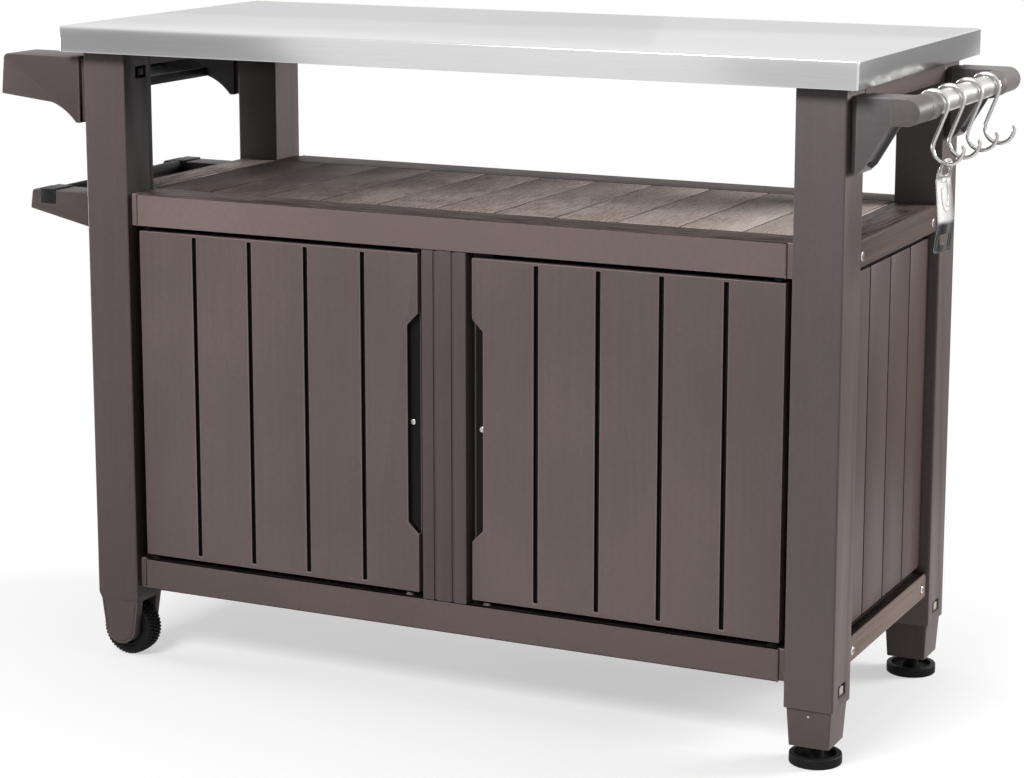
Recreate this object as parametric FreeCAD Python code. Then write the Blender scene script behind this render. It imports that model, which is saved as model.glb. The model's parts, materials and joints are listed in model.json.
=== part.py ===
import FreeCAD, Part
import math
import os

# Grill cart with storage. Millimetres, +Z up, floor at z = 0, doors face -Y.
# X and Y are measured from the middle of the worktop while the pieces are made. Every piece is
# moved along X at the end, so that the origin is under the middle of the whole cart.

V = FreeCAD.Vector
AXIS_X = V(1, 0, 0)
AXIS_Y = V(0, 1, 0)
AXIS_Z = V(0, 0, 1)

# Worktop
top_length = 1142.0
top_depth = 520.0
cart_height = 900.0
skirt_height = 35.5
top_sheet = 1.2
top_corner_radius = 2.5
top_edge_radius = 2.0
top_hem = 9.0
board_thickness = 12.0

# Legs
leg_inset_x = 21.3
leg_inset_y = 24.3
leg_width = 66.0
leg_depth = 68.6
leg_wall = 3.2
leg_edge_radius = 3.0
leg_web = 4.0
leg_bottom_right = 78.0
leg_bottom_left = 84.0
leg_arch_rise = 6.0
plug_height = 34.0
plug_clearance = 0.15
leg_slot_width = 11.0
leg_slot_height = 17.0
leg_slot_rise = 21.0
snap_tab_clearance = 2.0
snap_tab_recess = 1.2

# Rails between the legs
front_face_inset = 8.0
front_rail_depth = 60.7
deck_level = 670.0
upper_front_height = 44.6
floor_rail_top = 150.7
lower_front_height = 43.0
side_face_inset = 4.7
upper_side_width = 61.0
side_rail_drop = 1.0
upper_side_height = 35.5
lower_side_width = 50.0
side_rail_rise = 3.8
lower_side_height = 32.5
rail_wall = 5.0
rail_edge_radius = 1.6
side_rail_round = 4.0
rail_end_step = 10.0
rail_end_recess = 3.5
ledge_width = 18.0
ledge_height = 10.0
top_rail_height = 51.0
top_rail_width = 24.0
apron_height = 21.0
apron_width = 22.0

# Deck, floor and panels
deck_thickness = 15.0
deck_end_gap = 0.5
deck_end_strip = 3.0
deck_groove = 2.4
deck_groove_depth = 2.2
deck_planks = 11
floor_thickness = 12.0
panel_thickness = 12.0
panel_groove = 5.0
panel_groove_depth = 4.0
panel_end_gap = 4.5
side_panel_inset = 9.6
side_planks = 4
back_planks = 5
post_width = 65.0
post_depth = 25.3
post_flange_width = 120.0
post_flange_thickness = 10.4
back_post_depth = 18.0
post_edge_radius = 1.5
post_groove_offset = 13.3
post_groove = 5.0
post_groove_depth = 2.5
post_core_width = 32.5

# Doors
door_face_inset = 3.0
door_thickness = 20.0
door_inner_x = 40.0
door_side_gap = 11.2
door_gap = 6.6
door_edge_radius = 1.5
door_planks = 5
door_groove = 5.4
door_groove_depth = 4.5
door_groove_inset_top = 4.0
door_groove_inset_bottom = 6.8
grip_depth_x = 15.8
grip_depth_y = 10.0
grip_top = 538.0
grip_bottom = 237.4
grip_slope = 15.8
hinge_inset = 10.5
hinge_pin_radius = 4.0
hinge_clearance = 0.06
hinge_pin_reach = 18.0
hinge_end_clearance = 2.0
hinge_flange_radius = 8.0
hinge_flange_height = 4.0
stop_nub_x = 58.0
stop_nub_radius = 5.0
stop_nub_height = 3.0

# Catch on each door
catch_z = 389.5
catch_inset = 11.5
catch_head_radius = 4.3
catch_head_height = 3.2
catch_head_round = 1.4
catch_cross_reach = 2.6
catch_cross_width = 1.0
catch_cross_depth = 1.3
catch_shank_radius = 2.0
strike_radius = 6.5
strike_thickness = 1.6
magnet_gap = 0.4
magnet_width = 15.0
magnet_height = 40.0
magnet_depth = 8.0

# Wheels under the left legs
wheel_radius = 40.0
wheel_width = 30.0
wheel_inset_y = 36.2
tyre_thickness = 12.0
tyre_shoulder = 3.0
tread_ribs = 30
tread_depth = 1.8
tread_gap = 3.4
hub_width = 27.0
hub_boss_radius = 11.0
hub_dish_depth = 9.0
hub_rim = 4.0
axle_radius = 5.0
axle_clearance = 0.06
axle_length = 56.0
fork_side_gap = 2.5
fork_top_gap = 4.0
tongue_half_width = 24.5
tongue_round_z = 46.0
inner_tongue_lift = 6.0

# Levelling feet under the right legs
foot_cap_bottom = 27.0
foot_cap_top_inset = 3.0
foot_cap_bottom_inset = 6.0
foot_cap_round = 2.5
foot_dot_radius = 1.6
foot_dot_depth = 0.8
foot_dot_drop = 9.0
foot_bore_length = 90.0
foot_radius = 34.0
foot_height = 13.0
foot_edge_round = 1.5
foot_dish_depth = 5.0
foot_dish_radius = 27.0
foot_neck_radius = 11.0
foot_neck_top_radius = 8.5
foot_neck_height = 18.0
foot_neck_relief = 2.0
foot_relief_depth = 9.0
foot_stem_radius = 6.0
foot_stem_clearance = 0.06
foot_stem_length = 56.0

# Condiment tray with its two arms on the left legs
arm_length = 137.7
arm_top_drop = 44.0
arm_tip_height = 56.0
arm_curve_share = 0.39
arm_curve_height = 64.8
arm_curve_bulge = 4.1
arm_height = 91.4
arm_root_flat = 7.0
arm_tip_lean = 4.6
arm_tip_radius = 8.0
arm_shell_wall = 3.5
arm_tip_wall = 12.0
flange_thickness = 8.0
flange_inset = 8.0
flange_drop = 2.5
tray_wall = 3.0
tray_tip_gap = 1.2
tray_rail_lean = 2.4
tray_lip_height = 13.8
tray_rail_height = 32.0

# Paper roll holder on the left legs
roll_arm_length = 127.3
roll_arm_tip_lean = 3.7
roll_arm_inset = 44.7
roll_arm_depth = 44.0
roll_arm_drop = 9.6
roll_arm_tip_height = 27.4
roll_arm_height = 54.8
roll_arm_tip_radius = 5.0
roll_bar_from_tip = 29.8
roll_bar_drop = 10.4
roll_bar_radius = 12.0
roll_bar_end_gap = 0.3
roll_spigot_radius = 7.0
roll_spigot_length = 12.0
saddle_width = 25.0
saddle_depth = 8.7
saddle_clearance = 0.3
saddle_cover = 2.0
saddle_proud = 1.2
saddle_round = 1.2

# Towel bar, its brackets and sockets on the right legs
bar_reach = 70.9
bar_radius = 14.5
bar_wall = 1.5
bar_end_inset = 17.0
bracket_depth = 54.0
bracket_inset_y = 10.7
bracket_drop = 46.5
bracket_height = 94.5
bracket_foot = 3.0
gusset_reach = 19.3
gusset_rise = 8.0
socket_length = 19.6
socket_radius = 16.5
collar_radius = 17.3
collar_length = 41.0
collar_ring_depth = 0.6
collar_ring_width = 1.2
collar_rings = 3
collar_ring_pitch = 5.0
collar_ring_inset = 4.0

# S hooks on the bar and the opener that hangs on the first of them
hook_shares = [-0.9, -0.3615, 0.2538, 0.8769]
hook_wire = 5.0
hook_upper_radius = 18.5
hook_lower_radius = 19.5
hook_lower_dx = 20.4
hook_lower_dz = 52.3
hook_upper_end = 205.0
hook_lower_end = 14.0
hook_rest_gap = 0.3
opener_width = 42.0
opener_top_width = 34.0
opener_sheet = 2.0
opener_length = 118.0
opener_hole_radius = 8.5
opener_rim = 5.0
opener_twist = 14.0
opener_waist_drop = 26.0
opener_belly_drop = 80.0
opener_bow = 5.5
opener_window_width = 26.0
opener_window_height = 17.0
opener_window_low = 6.0
opener_tooth_width = 10.0
opener_tooth_height = 5.0

# Screws that hold the side rails
screw_head_radius = 6.0
screw_head_height = 2.6
screw_head_round = 1.6
screw_sink = 1.2
screw_seat_gap = 0.8
screw_shank_radius = 2.6
screw_cross_reach = 3.6
screw_cross_width = 2.2
screw_cross_depth = 1.4
screw_rise = 14.0
screw_from_leg = 18.0

# Places worked out from the sizes above
leg_outer_x = top_length / 2 - leg_inset_x
leg_outer_y = top_depth / 2 - leg_inset_y
leg_inner_x = leg_outer_x - leg_width
leg_inner_y = leg_outer_y - leg_depth
leg_mid_x = leg_outer_x - leg_width / 2
leg_mid_y = leg_outer_y - leg_depth / 2
sheet_under = cart_height - top_sheet
board_under = sheet_under - board_thickness
skirt_low = cart_height - skirt_height
plug_inset = leg_wall + plug_clearance
front_face_y = leg_outer_y - front_face_inset
side_face_x = leg_outer_x - side_face_inset
side_panel_x = side_face_x - side_panel_inset
upper_side_top = deck_level - side_rail_drop
lower_side_top = floor_rail_top + side_rail_rise
door_face_y = front_face_y - door_face_inset
door_outer_x = leg_inner_x - door_side_gap
wheel_mid_y = leg_outer_y - wheel_inset_y
rail_inner_y = front_face_y - front_rail_depth
upper_front_low = deck_level - upper_front_height
lower_front_low = floor_rail_top - lower_front_height
upper_side_low = upper_side_top - upper_side_height
lower_side_low = lower_side_top - lower_side_height
upper_side_inner_x = side_face_x - upper_side_width
lower_side_inner_x = side_face_x - lower_side_width
deck_under = deck_level - deck_thickness
door_low = floor_rail_top + door_gap
door_top = upper_front_low - door_gap
door_back_y = door_face_y - door_thickness
hinge_x = door_outer_x - hinge_inset
hinge_y = door_face_y - door_thickness / 2
catch_x = door_inner_x + catch_inset
magnet_face_y = door_back_y - strike_thickness - magnet_gap
screw_y = leg_inner_y - screw_from_leg
cavity_half = wheel_width / 2 + fork_side_gap
flange_root_x = leg_outer_x + flange_thickness
arm_reach = leg_outer_x + arm_length
arm_top = cart_height - arm_top_drop
arm_tip_low = arm_top - arm_tip_height
arm_curve_x = leg_outer_x + arm_curve_share * arm_length
arm_curve_z = arm_top - arm_curve_height
arm_root_z = arm_top - arm_height
tray_lip_top = arm_curve_z + tray_lip_height
tray_rail_top = arm_tip_low + tray_rail_height
roll_arm_tip_x = leg_outer_x + roll_arm_length
roll_arm_outer_y = leg_outer_y - roll_arm_inset
roll_arm_inner_y = roll_arm_outer_y - roll_arm_depth
roll_arm_top = deck_level - roll_arm_drop
roll_arm_tip_low = roll_arm_top - roll_arm_tip_height
roll_arm_root_low = roll_arm_top - roll_arm_height
roll_bar_x = roll_arm_tip_x - roll_bar_from_tip
roll_bar_z = roll_arm_top - roll_bar_drop
saddle_bottom = roll_bar_z - saddle_depth
bracket_top = cart_height - bracket_drop
bracket_low = bracket_top - bracket_height
bracket_outer_y = leg_outer_y - bracket_inset_y
bracket_inner_y = bracket_outer_y - bracket_depth
bar_x = leg_outer_x + bar_reach
bar_z = bracket_top - socket_radius
bar_end_y = bracket_outer_y - bar_end_inset
gusset_x = leg_outer_x + gusset_reach
gusset_z = bracket_low + gusset_rise
socket_split_x = bar_x - socket_length
collar_end_y = bracket_inner_y - collar_length
hook_wire_radius = hook_wire / 2
hook_upper_z = bar_z + bar_radius + hook_rest_gap + hook_wire_radius - hook_upper_radius
hook_lower_x = bar_x + hook_lower_dx
hook_lower_z = hook_upper_z - hook_lower_dz
hook_places = [share * collar_end_y for share in hook_shares]
hook_reach = hook_lower_x + hook_lower_radius + hook_wire_radius
centre_shift = (arm_reach - hook_reach) / 2
past = 1.0
near = 0.01
parallel = 1e-6
full_turn = 360.0


def box(x0, x1, y0, y1, z0, z1):
    low = V(min(x0, x1), min(y0, y1), min(z0, z1))
    return Part.makeBox(abs(x1 - x0), abs(y1 - y0), abs(z1 - z0), low)


def cylinder(radius, length, base, along):
    return Part.makeCylinder(radius, length, base, along)


def edges_along(shape, axis):
    found = []
    for edge in shape.Edges:
        if not isinstance(edge.Curve, (Part.Line, Part.LineSegment)):
            continue
        run = edge.Vertexes[-1].Point - edge.Vertexes[0].Point
        if abs(abs(run.normalize().dot(axis)) - 1) < parallel:
            found.append(edge)
    return found


def rounded(shape, radius, axis):
    return shape.makeFillet(radius, edges_along(shape, axis))


def mirror_x(shape):
    return shape.mirror(V(0, 0, 0), AXIS_X)


def mirror_y(shape):
    return shape.mirror(V(0, 0, 0), AXIS_Y)


def outline_prism(points, start, depth, plane):
    # A flat outline in the XZ or YZ plane, pushed along the third axis from start by depth
    if plane == "xz":
        corners = [V(a, start, b) for a, b in points]
        push = V(0, depth, 0)
    else:
        corners = [V(start, a, b) for a, b in points]
        push = V(depth, 0, 0)
    face = Part.Face(Part.makePolygon(corners + [corners[0]]))
    return face.extrude(push)


def node(name, shape):
    if shape.ShapeType == "Compound" and len(shape.Solids) == 1:
        shape = shape.Solids[0]
    placed = shape.copy()
    placed.translate(V(centre_shift, 0, 0))
    placed.exportStep("parts/" + name + ".step")
    print(name, len(placed.Solids), placed.isValid(), round(placed.Volume / 1000, 1))


# Worktop: a folded steel tray over a board
def steel_top():
    half_x = top_length / 2
    half_y = top_depth / 2
    outer = box(-half_x, half_x, -half_y, half_y, skirt_low, cart_height)
    outer = rounded(outer, top_corner_radius, AXIS_Z)
    upper = [e for e in outer.Edges if min(v.Z for v in e.Vertexes) > cart_height - near]
    outer = outer.makeFillet(top_edge_radius, upper)
    inside = box(-half_x + top_sheet, half_x - top_sheet, -half_y + top_sheet, half_y - top_sheet,
                 skirt_low + top_sheet, sheet_under)
    mouth = box(-half_x + top_hem, half_x - top_hem, -half_y + top_hem, half_y - top_hem,
                skirt_low - past, sheet_under)
    return outer.cut(inside).cut(mouth)


def top_board():
    half_x = top_length / 2 - top_sheet
    half_y = top_depth / 2 - top_sheet
    return box(-half_x, half_x, -half_y, half_y, board_under, sheet_under)


# Rails under the worktop
def side_top_rail():
    return box(leg_outer_x - top_rail_width, leg_outer_x, -leg_inner_y, leg_inner_y,
               board_under - top_rail_height, board_under)


def top_aprons():
    front = box(-leg_inner_x, leg_inner_x, -front_face_y, -front_face_y + apron_width,
                board_under - apron_height, board_under)
    return Part.makeCompound([front, mirror_y(front)])


# Legs: square tubes, open at the foot, with a web on which the foot piece stops. Built at +X, +Y.
def leg_tube(bottom):
    outer = box(leg_inner_x, leg_outer_x, leg_inner_y, leg_outer_y, bottom, board_under)
    outer = rounded(outer, leg_edge_radius, AXIS_Z)
    web_low = bottom + plug_height
    for low, high in ((bottom - past, web_low), (web_low + leg_web, board_under - leg_wall)):
        outer = outer.cut(box(leg_inner_x + leg_wall, leg_outer_x - leg_wall, leg_inner_y + leg_wall,
                              leg_outer_y - leg_wall, low, high))
    return outer


def leg_with_slot():
    # A rounded slot in the outer wall lets the snap tab of the foot cap in
    radius = leg_slot_width / 2
    straight = leg_slot_height / 2 - radius
    x0 = leg_outer_x - leg_wall - past
    z = leg_bottom_right + leg_slot_rise
    slot = box(x0, leg_outer_x + past, leg_mid_y - radius, leg_mid_y + radius, z - straight, z + straight)
    for end in (-straight, straight):
        slot = slot.fuse(cylinder(radius, leg_wall + 2 * past, V(x0, leg_mid_y, z + end), AXIS_X))
    return leg_tube(leg_bottom_right).cut(slot)


def leg_with_arch():
    # The walls beside the wheel are cut away above it
    arch = box(leg_inner_x - past, leg_outer_x + past, wheel_mid_y - cavity_half, wheel_mid_y + cavity_half,
               leg_bottom_left - past, leg_bottom_left + leg_arch_rise)
    return leg_tube(leg_bottom_left).cut(arch)


def leg_plug(bottom):
    # The part of a foot piece that stands inside the tube of the leg
    return box(leg_inner_x + plug_inset, leg_outer_x - plug_inset, leg_inner_y + plug_inset,
               leg_outer_y - plug_inset, bottom, bottom + plug_height)


# Fork for the wheel: a plug in the leg and two tongues. Built at +X, +Y.
def fork_tongue(y0, y1, lift):
    top_half = leg_width / 2 - plug_inset
    round_z = tongue_round_z + lift
    slopes = [(leg_mid_x - top_half, leg_bottom_left), (leg_mid_x - tongue_half_width, round_z),
              (leg_mid_x + tongue_half_width, round_z), (leg_mid_x + top_half, leg_bottom_left)]
    upper = outline_prism(slopes, y0, y1 - y0, "xz")
    lower = cylinder(tongue_half_width, y1 - y0, V(leg_mid_x, y0, round_z), AXIS_Y)
    return upper.fuse(lower)


def wheel_fork():
    inner = wheel_mid_y - cavity_half
    outer = wheel_mid_y + cavity_half
    shape = leg_plug(leg_bottom_left)
    shape = shape.fuse(fork_tongue(outer, leg_outer_y - plug_inset, 0))
    shape = shape.fuse(fork_tongue(leg_inner_y + plug_inset, inner, inner_tongue_lift))
    room = cylinder(wheel_radius + fork_top_gap, outer - inner, V(leg_mid_x, inner, wheel_radius), AXIS_Y)
    return shape.cut(room).cut(wheel_axle()).removeSplitter()


def wheel_axle():
    start = V(leg_mid_x, wheel_mid_y - axle_length / 2, wheel_radius)
    return cylinder(axle_radius, axle_length, start, AXIS_Y)


# Wheel: a ribbed tyre on a dished hub
def tyre():
    base = V(leg_mid_x, wheel_mid_y - wheel_width / 2, wheel_radius)
    ring = cylinder(wheel_radius, wheel_width, base, AXIS_Y)
    ring = ring.makeFillet(tyre_shoulder, [e for e in ring.Edges if isinstance(e.Curve, Part.Circle)])
    ring = ring.cut(cylinder(wheel_radius - tyre_thickness, wheel_width, base, AXIS_Y))
    notches = []
    for i in range(tread_ribs):
        notch = box(leg_mid_x - tread_gap / 2, leg_mid_x + tread_gap / 2, base.y - past,
                    base.y + wheel_width + past, 2 * wheel_radius - tread_depth, 2 * wheel_radius + past)
        notch.rotate(V(leg_mid_x, 0, wheel_radius), AXIS_Y, (i + 0.5) * full_turn / tread_ribs)
        notches.append(notch)
    return ring.cut(notches)


def hub():
    y0 = wheel_mid_y - hub_width / 2
    radius = wheel_radius - tyre_thickness
    body = cylinder(radius, hub_width, V(leg_mid_x, y0, wheel_radius), AXIS_Y)
    for start in (y0, y0 + hub_width - hub_dish_depth):
        base = V(leg_mid_x, start, wheel_radius)
        dish = cylinder(radius - hub_rim, hub_dish_depth, base, AXIS_Y)
        body = body.cut(dish.cut(cylinder(hub_boss_radius, hub_dish_depth, base, AXIS_Y)))
    bore_radius = axle_radius + axle_clearance
    return body.cut(cylinder(bore_radius, hub_width, V(leg_mid_x, y0, wheel_radius), AXIS_Y))


# Foot cap under a right leg: a tapered block with a plug, a snap tab and a bore. Built at +X, +Y.
def cap_ring(inset, z):
    x0 = leg_inner_x + inset
    x1 = leg_outer_x - inset
    y0 = leg_inner_y + inset
    y1 = leg_outer_y - inset
    return Part.makePolygon([V(x0, y0, z), V(x1, y0, z), V(x1, y1, z), V(x0, y1, z), V(x0, y0, z)])


def foot_cap():
    body = Part.makeLoft([cap_ring(foot_cap_bottom_inset, foot_cap_bottom),
                          cap_ring(foot_cap_top_inset, leg_bottom_right)], True, True)
    upright = [e for e in body.Edges if abs(e.Vertexes[0].Z - e.Vertexes[-1].Z) > past]
    body = body.makeFillet(foot_cap_round, upright)
    shape = body.fuse(leg_plug(leg_bottom_right))
    tab_half = leg_slot_width / 2 - snap_tab_clearance
    tab_z = leg_bottom_right + leg_slot_rise
    tab_rise = leg_slot_height / 2 - snap_tab_clearance
    shape = shape.fuse(box(leg_mid_x, leg_outer_x - snap_tab_recess, leg_mid_y - tab_half,
                           leg_mid_y + tab_half, tab_z - tab_half, tab_z + tab_rise))
    axis = V(leg_mid_x, leg_mid_y, foot_cap_bottom - past)
    shape = shape.cut(cylinder(foot_stem_radius + foot_stem_clearance, foot_bore_length, axis, AXIS_Z))
    shape = shape.cut(cylinder(foot_neck_radius + foot_neck_relief, foot_relief_depth, axis, AXIS_Z))
    dot_y = leg_outer_y - foot_cap_top_inset - foot_dot_depth
    dot_base = V(leg_mid_x, dot_y, leg_bottom_right - foot_dot_drop)
    return shape.cut(cylinder(foot_dot_radius, foot_cap_bottom_inset, dot_base, AXIS_Y)).removeSplitter()


def levelling_foot():
    at = V(leg_mid_x, leg_mid_y, 0)
    disc = cylinder(foot_radius, foot_height, at, AXIS_Z)
    disc = disc.makeFillet(foot_edge_round, [e for e in disc.Edges if isinstance(e.Curve, Part.Circle)])
    dish_floor = foot_height - foot_dish_depth
    disc = disc.cut(cylinder(foot_dish_radius, foot_dish_depth, V(at.x, at.y, dish_floor), AXIS_Z))
    base = V(at.x, at.y, dish_floor)
    neck = Part.makeCone(foot_neck_radius, foot_neck_top_radius, foot_neck_height, base, AXIS_Z)
    stem = cylinder(foot_stem_radius, foot_stem_length, base, AXIS_Z)
    return disc.fuse(neck).fuse(stem).removeSplitter()


# Front and back rails: hollow, with ends that step back beside the legs. Built for the front.
def long_rail(low, high):
    rail = box(-leg_inner_x, leg_inner_x, -front_face_y, -rail_inner_y, low, high)
    rail = rounded(rail, rail_edge_radius, AXIS_X)
    w = rail_wall
    rail = rail.cut(box(-leg_inner_x - past, leg_inner_x + past, -front_face_y + w, -rail_inner_y - w,
                        low + w, high - w))
    for side in (-1, 1):
        rail = rail.cut(box(side * (leg_inner_x - rail_end_step), side * (leg_inner_x + past),
                            -front_face_y - past, -front_face_y + rail_end_recess, low - past, high + past))
    return rail


def drilled_for_hinges(rail, face_z, into):
    for side in (-1, 1):
        rail = rail.cut(cylinder(hinge_pin_radius, rail_wall, V(side * hinge_x, -hinge_y, face_z), into))
    return rail


def front_rail_lower():
    # The lower front rail also has a ledge for the floor and a nub under the inner end of each door
    rail = drilled_for_hinges(long_rail(lower_front_low, floor_rail_top), floor_rail_top, -AXIS_Z)
    for side in (-1, 1):
        base = V(side * stop_nub_x, -hinge_y, floor_rail_top)
        rail = rail.fuse(cylinder(stop_nub_radius, stop_nub_height, base, AXIS_Z))
    return with_floor_ledge(rail).removeSplitter()


def with_floor_ledge(rail):
    return rail.fuse(box(-leg_inner_x, leg_inner_x, -rail_inner_y - past, -rail_inner_y + ledge_width,
                         lower_side_low - ledge_height, lower_side_low))


# Side rails: hollow, with a rounded outer edge and two screws. Built for the right side.
def side_rail(inner_x, low, high):
    rail = box(inner_x, side_face_x, -leg_inner_y, leg_inner_y, low, high)
    outer = [e for e in edges_along(rail, AXIS_Y) if e.Vertexes[0].X > side_face_x - past]
    rail = rail.makeFillet(side_rail_round, [e for e in outer if e.Vertexes[0].Z > low + past])
    w = rail_wall
    end_y = leg_inner_y + past
    rail = rail.cut(box(inner_x + w, side_face_x - w, -end_y, end_y, low + w, high - w))
    for y in (-screw_y, screw_y):
        face = V(side_face_x, y, low + screw_rise)
        rail = rail.cut(cylinder(screw_shank_radius, rail_wall, face, -AXIS_X))
        rail = rail.cut(cylinder(screw_head_radius + screw_seat_gap, screw_sink, face, -AXIS_X))
    return rail


def upper_side_rail():
    ledge = box(upper_side_inner_x - ledge_width, upper_side_inner_x, -rail_inner_y, rail_inner_y,
                deck_under - ledge_height, deck_under)
    return side_rail(upper_side_inner_x, upper_side_low, upper_side_top).fuse(ledge)


# Deck: planks with narrow grooves between them, and a groove along the front and back rails
def deck_panel():
    half_x = upper_side_inner_x - deck_end_gap
    half_y = rail_inner_y
    planked = half_x - deck_end_strip
    groove_low = deck_level - deck_groove_depth
    pitch = 2 * planked / deck_planks
    cuts = []
    for i in range(deck_planks + 1):
        x = -planked + i * pitch
        cuts.append(box(x - deck_groove / 2, x + deck_groove / 2, -half_y - past, half_y + past,
                        groove_low, deck_level + past))
    for side in (-1, 1):
        cuts.append(box(-half_x - past, half_x + past, side * (half_y - deck_groove), side * (half_y + past),
                        groove_low, deck_level + past))
    return box(-half_x, half_x, -half_y, half_y, deck_under, deck_level).cut(cuts)


def floor_panel():
    return box(-lower_side_inner_x, lower_side_inner_x, -rail_inner_y, rail_inner_y,
               lower_side_low, lower_side_low + floor_thickness)


# Planked panels
def plank_lines(start, end, count):
    return [start + i * (end - start) / count for i in range(1, count)]


def side_panel():
    # Built for the right side; a gap shows above and below its face
    half_y = leg_inner_y
    inner_x = side_panel_x - panel_thickness
    panel = box(inner_x, side_panel_x, -half_y, half_y, lower_side_top, upper_side_low)
    groove_x = side_panel_x - panel_groove_depth
    face_x = side_panel_x + past
    cuts = [box(groove_x, face_x, -half_y - past, half_y + past, z0, z1) for z0, z1 in (
        (lower_side_top - past, lower_side_top + panel_end_gap),
        (upper_side_low - panel_end_gap, upper_side_low + past))]
    for y in plank_lines(-half_y, half_y, side_planks):
        cuts.append(box(groove_x, face_x, y - panel_groove / 2, y + panel_groove / 2,
                        lower_side_top - past, upper_side_low + past))
    return panel.cut(cuts)


def back_panel():
    # The right half, between the back post and the leg
    x0 = post_width / 2
    panel = box(x0, leg_inner_x, door_face_y - panel_thickness, door_face_y, floor_rail_top, upper_front_low)
    cuts = []
    for x in plank_lines(x0, leg_inner_x, back_planks):
        cuts.append(box(x - panel_groove / 2, x + panel_groove / 2, door_face_y - panel_groove_depth,
                        door_face_y + past, floor_rail_top - past, upper_front_low + past))
    return panel.cut(cuts)


# Centre posts with two grooves; the front one has a flange behind the doors that holds the magnets
def post(depth):
    half = post_width / 2
    body = box(-half, half, -front_face_y, -front_face_y + depth, floor_rail_top, upper_front_low)
    body = rounded(body, post_edge_radius, AXIS_Z)
    cuts = []
    for x in (-post_groove_offset, post_groove_offset):
        cuts.append(box(x - post_groove / 2, x + post_groove / 2, -front_face_y - past,
                        -front_face_y + post_groove_depth, floor_rail_top - past, upper_front_low + past))
    return body.cut(cuts)


def magnet(side):
    x = side * catch_x
    return box(x - magnet_width / 2, x + magnet_width / 2, -magnet_face_y, -magnet_face_y + magnet_depth,
               catch_z - magnet_height / 2, catch_z + magnet_height / 2)


def front_post():
    y0 = -front_face_y + post_depth - post_edge_radius
    y1 = -front_face_y + post_depth + post_flange_thickness
    half = post_flange_width / 2
    flange = box(-half, half, -front_face_y + post_depth, y1, floor_rail_top, upper_front_low)
    core = box(-post_core_width / 2, post_core_width / 2, y0, y1, floor_rail_top, upper_front_low)
    return post(post_depth).fuse(core).fuse(flange).cut([magnet(-1), magnet(1)]).removeSplitter()


# Doors: planked panels with a grip cut into the edge beside the post. Built for the right side.
def door():
    face = -door_face_y
    panel = box(door_inner_x, door_outer_x, face, -door_back_y, door_low, door_top)
    front_edges = [e for e in panel.Edges if max(v.Y for v in e.Vertexes) < face + past]
    panel = panel.makeFillet(door_edge_radius, front_edges)
    cuts = []
    for x in plank_lines(door_inner_x, door_outer_x, door_planks):
        cuts.append(box(x - door_groove / 2, x + door_groove / 2, face - past, face + door_groove_depth,
                        door_low + door_groove_inset_bottom, door_top - door_groove_inset_top))
    edge = door_inner_x - past
    deep = door_inner_x + grip_depth_x
    grip = [(edge, grip_top + past), (deep, grip_top - grip_slope), (deep, grip_bottom + grip_slope),
            (edge, grip_bottom - past)]
    cuts.append(outline_prism(grip, face - past, grip_depth_y + past, "xz"))
    bore = hinge_pin_radius + hinge_clearance
    reach = hinge_pin_reach + hinge_end_clearance
    cuts.append(cylinder(bore, reach, V(hinge_x, -hinge_y, door_low), AXIS_Z))
    cuts.append(cylinder(bore, reach, V(hinge_x, -hinge_y, door_top - reach), AXIS_Z))
    catch = V(catch_x, face - past, catch_z)
    cuts.append(cylinder(catch_shank_radius, door_thickness + 2 * past, catch, AXIS_Y))
    return panel.cut(cuts)


def catch_screw():
    # Screw in the grip, with the steel strike that it holds on the back of the door
    seat_y = -door_face_y + grip_depth_y
    head_y = seat_y - catch_head_height
    head = cylinder(catch_head_radius, catch_head_height, V(catch_x, head_y, catch_z), AXIS_Y)
    front_edges = [e for e in head.Edges if max(v.Y for v in e.Vertexes) < seat_y - past]
    head = head.makeFillet(catch_head_round, front_edges)
    a = catch_cross_reach
    b = catch_cross_width / 2
    for half_x, half_z in ((a, b), (b, a)):
        head = head.cut(box(catch_x - half_x, catch_x + half_x, head_y - past, head_y + catch_cross_depth,
                            catch_z - half_z, catch_z + half_z))
    shank = cylinder(catch_shank_radius, -door_back_y - seat_y, V(catch_x, seat_y, catch_z), AXIS_Y)
    strike = cylinder(strike_radius, strike_thickness, V(catch_x, -door_back_y, catch_z), AXIS_Y)
    return head.fuse(shank).fuse(strike).removeSplitter()


def hinge_pins():
    pins = []
    for face_z, up in ((floor_rail_top, AXIS_Z), (upper_front_low, -AXIS_Z)):
        for side in (-1, 1):
            at = V(side * hinge_x, -hinge_y, face_z)
            flange = cylinder(hinge_flange_radius, hinge_flange_height, at, up)
            stub = cylinder(hinge_pin_radius, hinge_pin_reach + door_gap, at, up)
            shank = cylinder(hinge_pin_radius, rail_wall, at, -up)
            pins.append(flange.fuse(stub).fuse(shank).removeSplitter())
    return Part.makeCompound(pins)


# Screws with a cross recess, at both ends of each side rail
def rail_screw(y, rail_low):
    at = V(side_face_x - screw_sink, y, rail_low + screw_rise)
    head = cylinder(screw_head_radius, screw_head_height, at, AXIS_X)
    top_x = at.x + screw_head_height
    top_edges = [e for e in head.Edges if min(v.X for v in e.Vertexes) > top_x - near]
    head = head.makeFillet(screw_head_round, top_edges)
    a = screw_cross_reach
    b = screw_cross_width / 2
    for half_y, half_z in ((a, b), (b, a)):
        head = head.cut(box(top_x - screw_cross_depth, top_x + past, y - half_y, y + half_y,
                            at.z - half_z, at.z + half_z))
    return head.fuse(cylinder(screw_shank_radius, rail_wall - screw_sink, at, -AXIS_X))


def rail_screws():
    right = [rail_screw(y, low) for low in (upper_side_low, lower_side_low) for y in (-screw_y, screw_y)]
    return Part.makeCompound(right + [mirror_x(screw) for screw in right])


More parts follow.
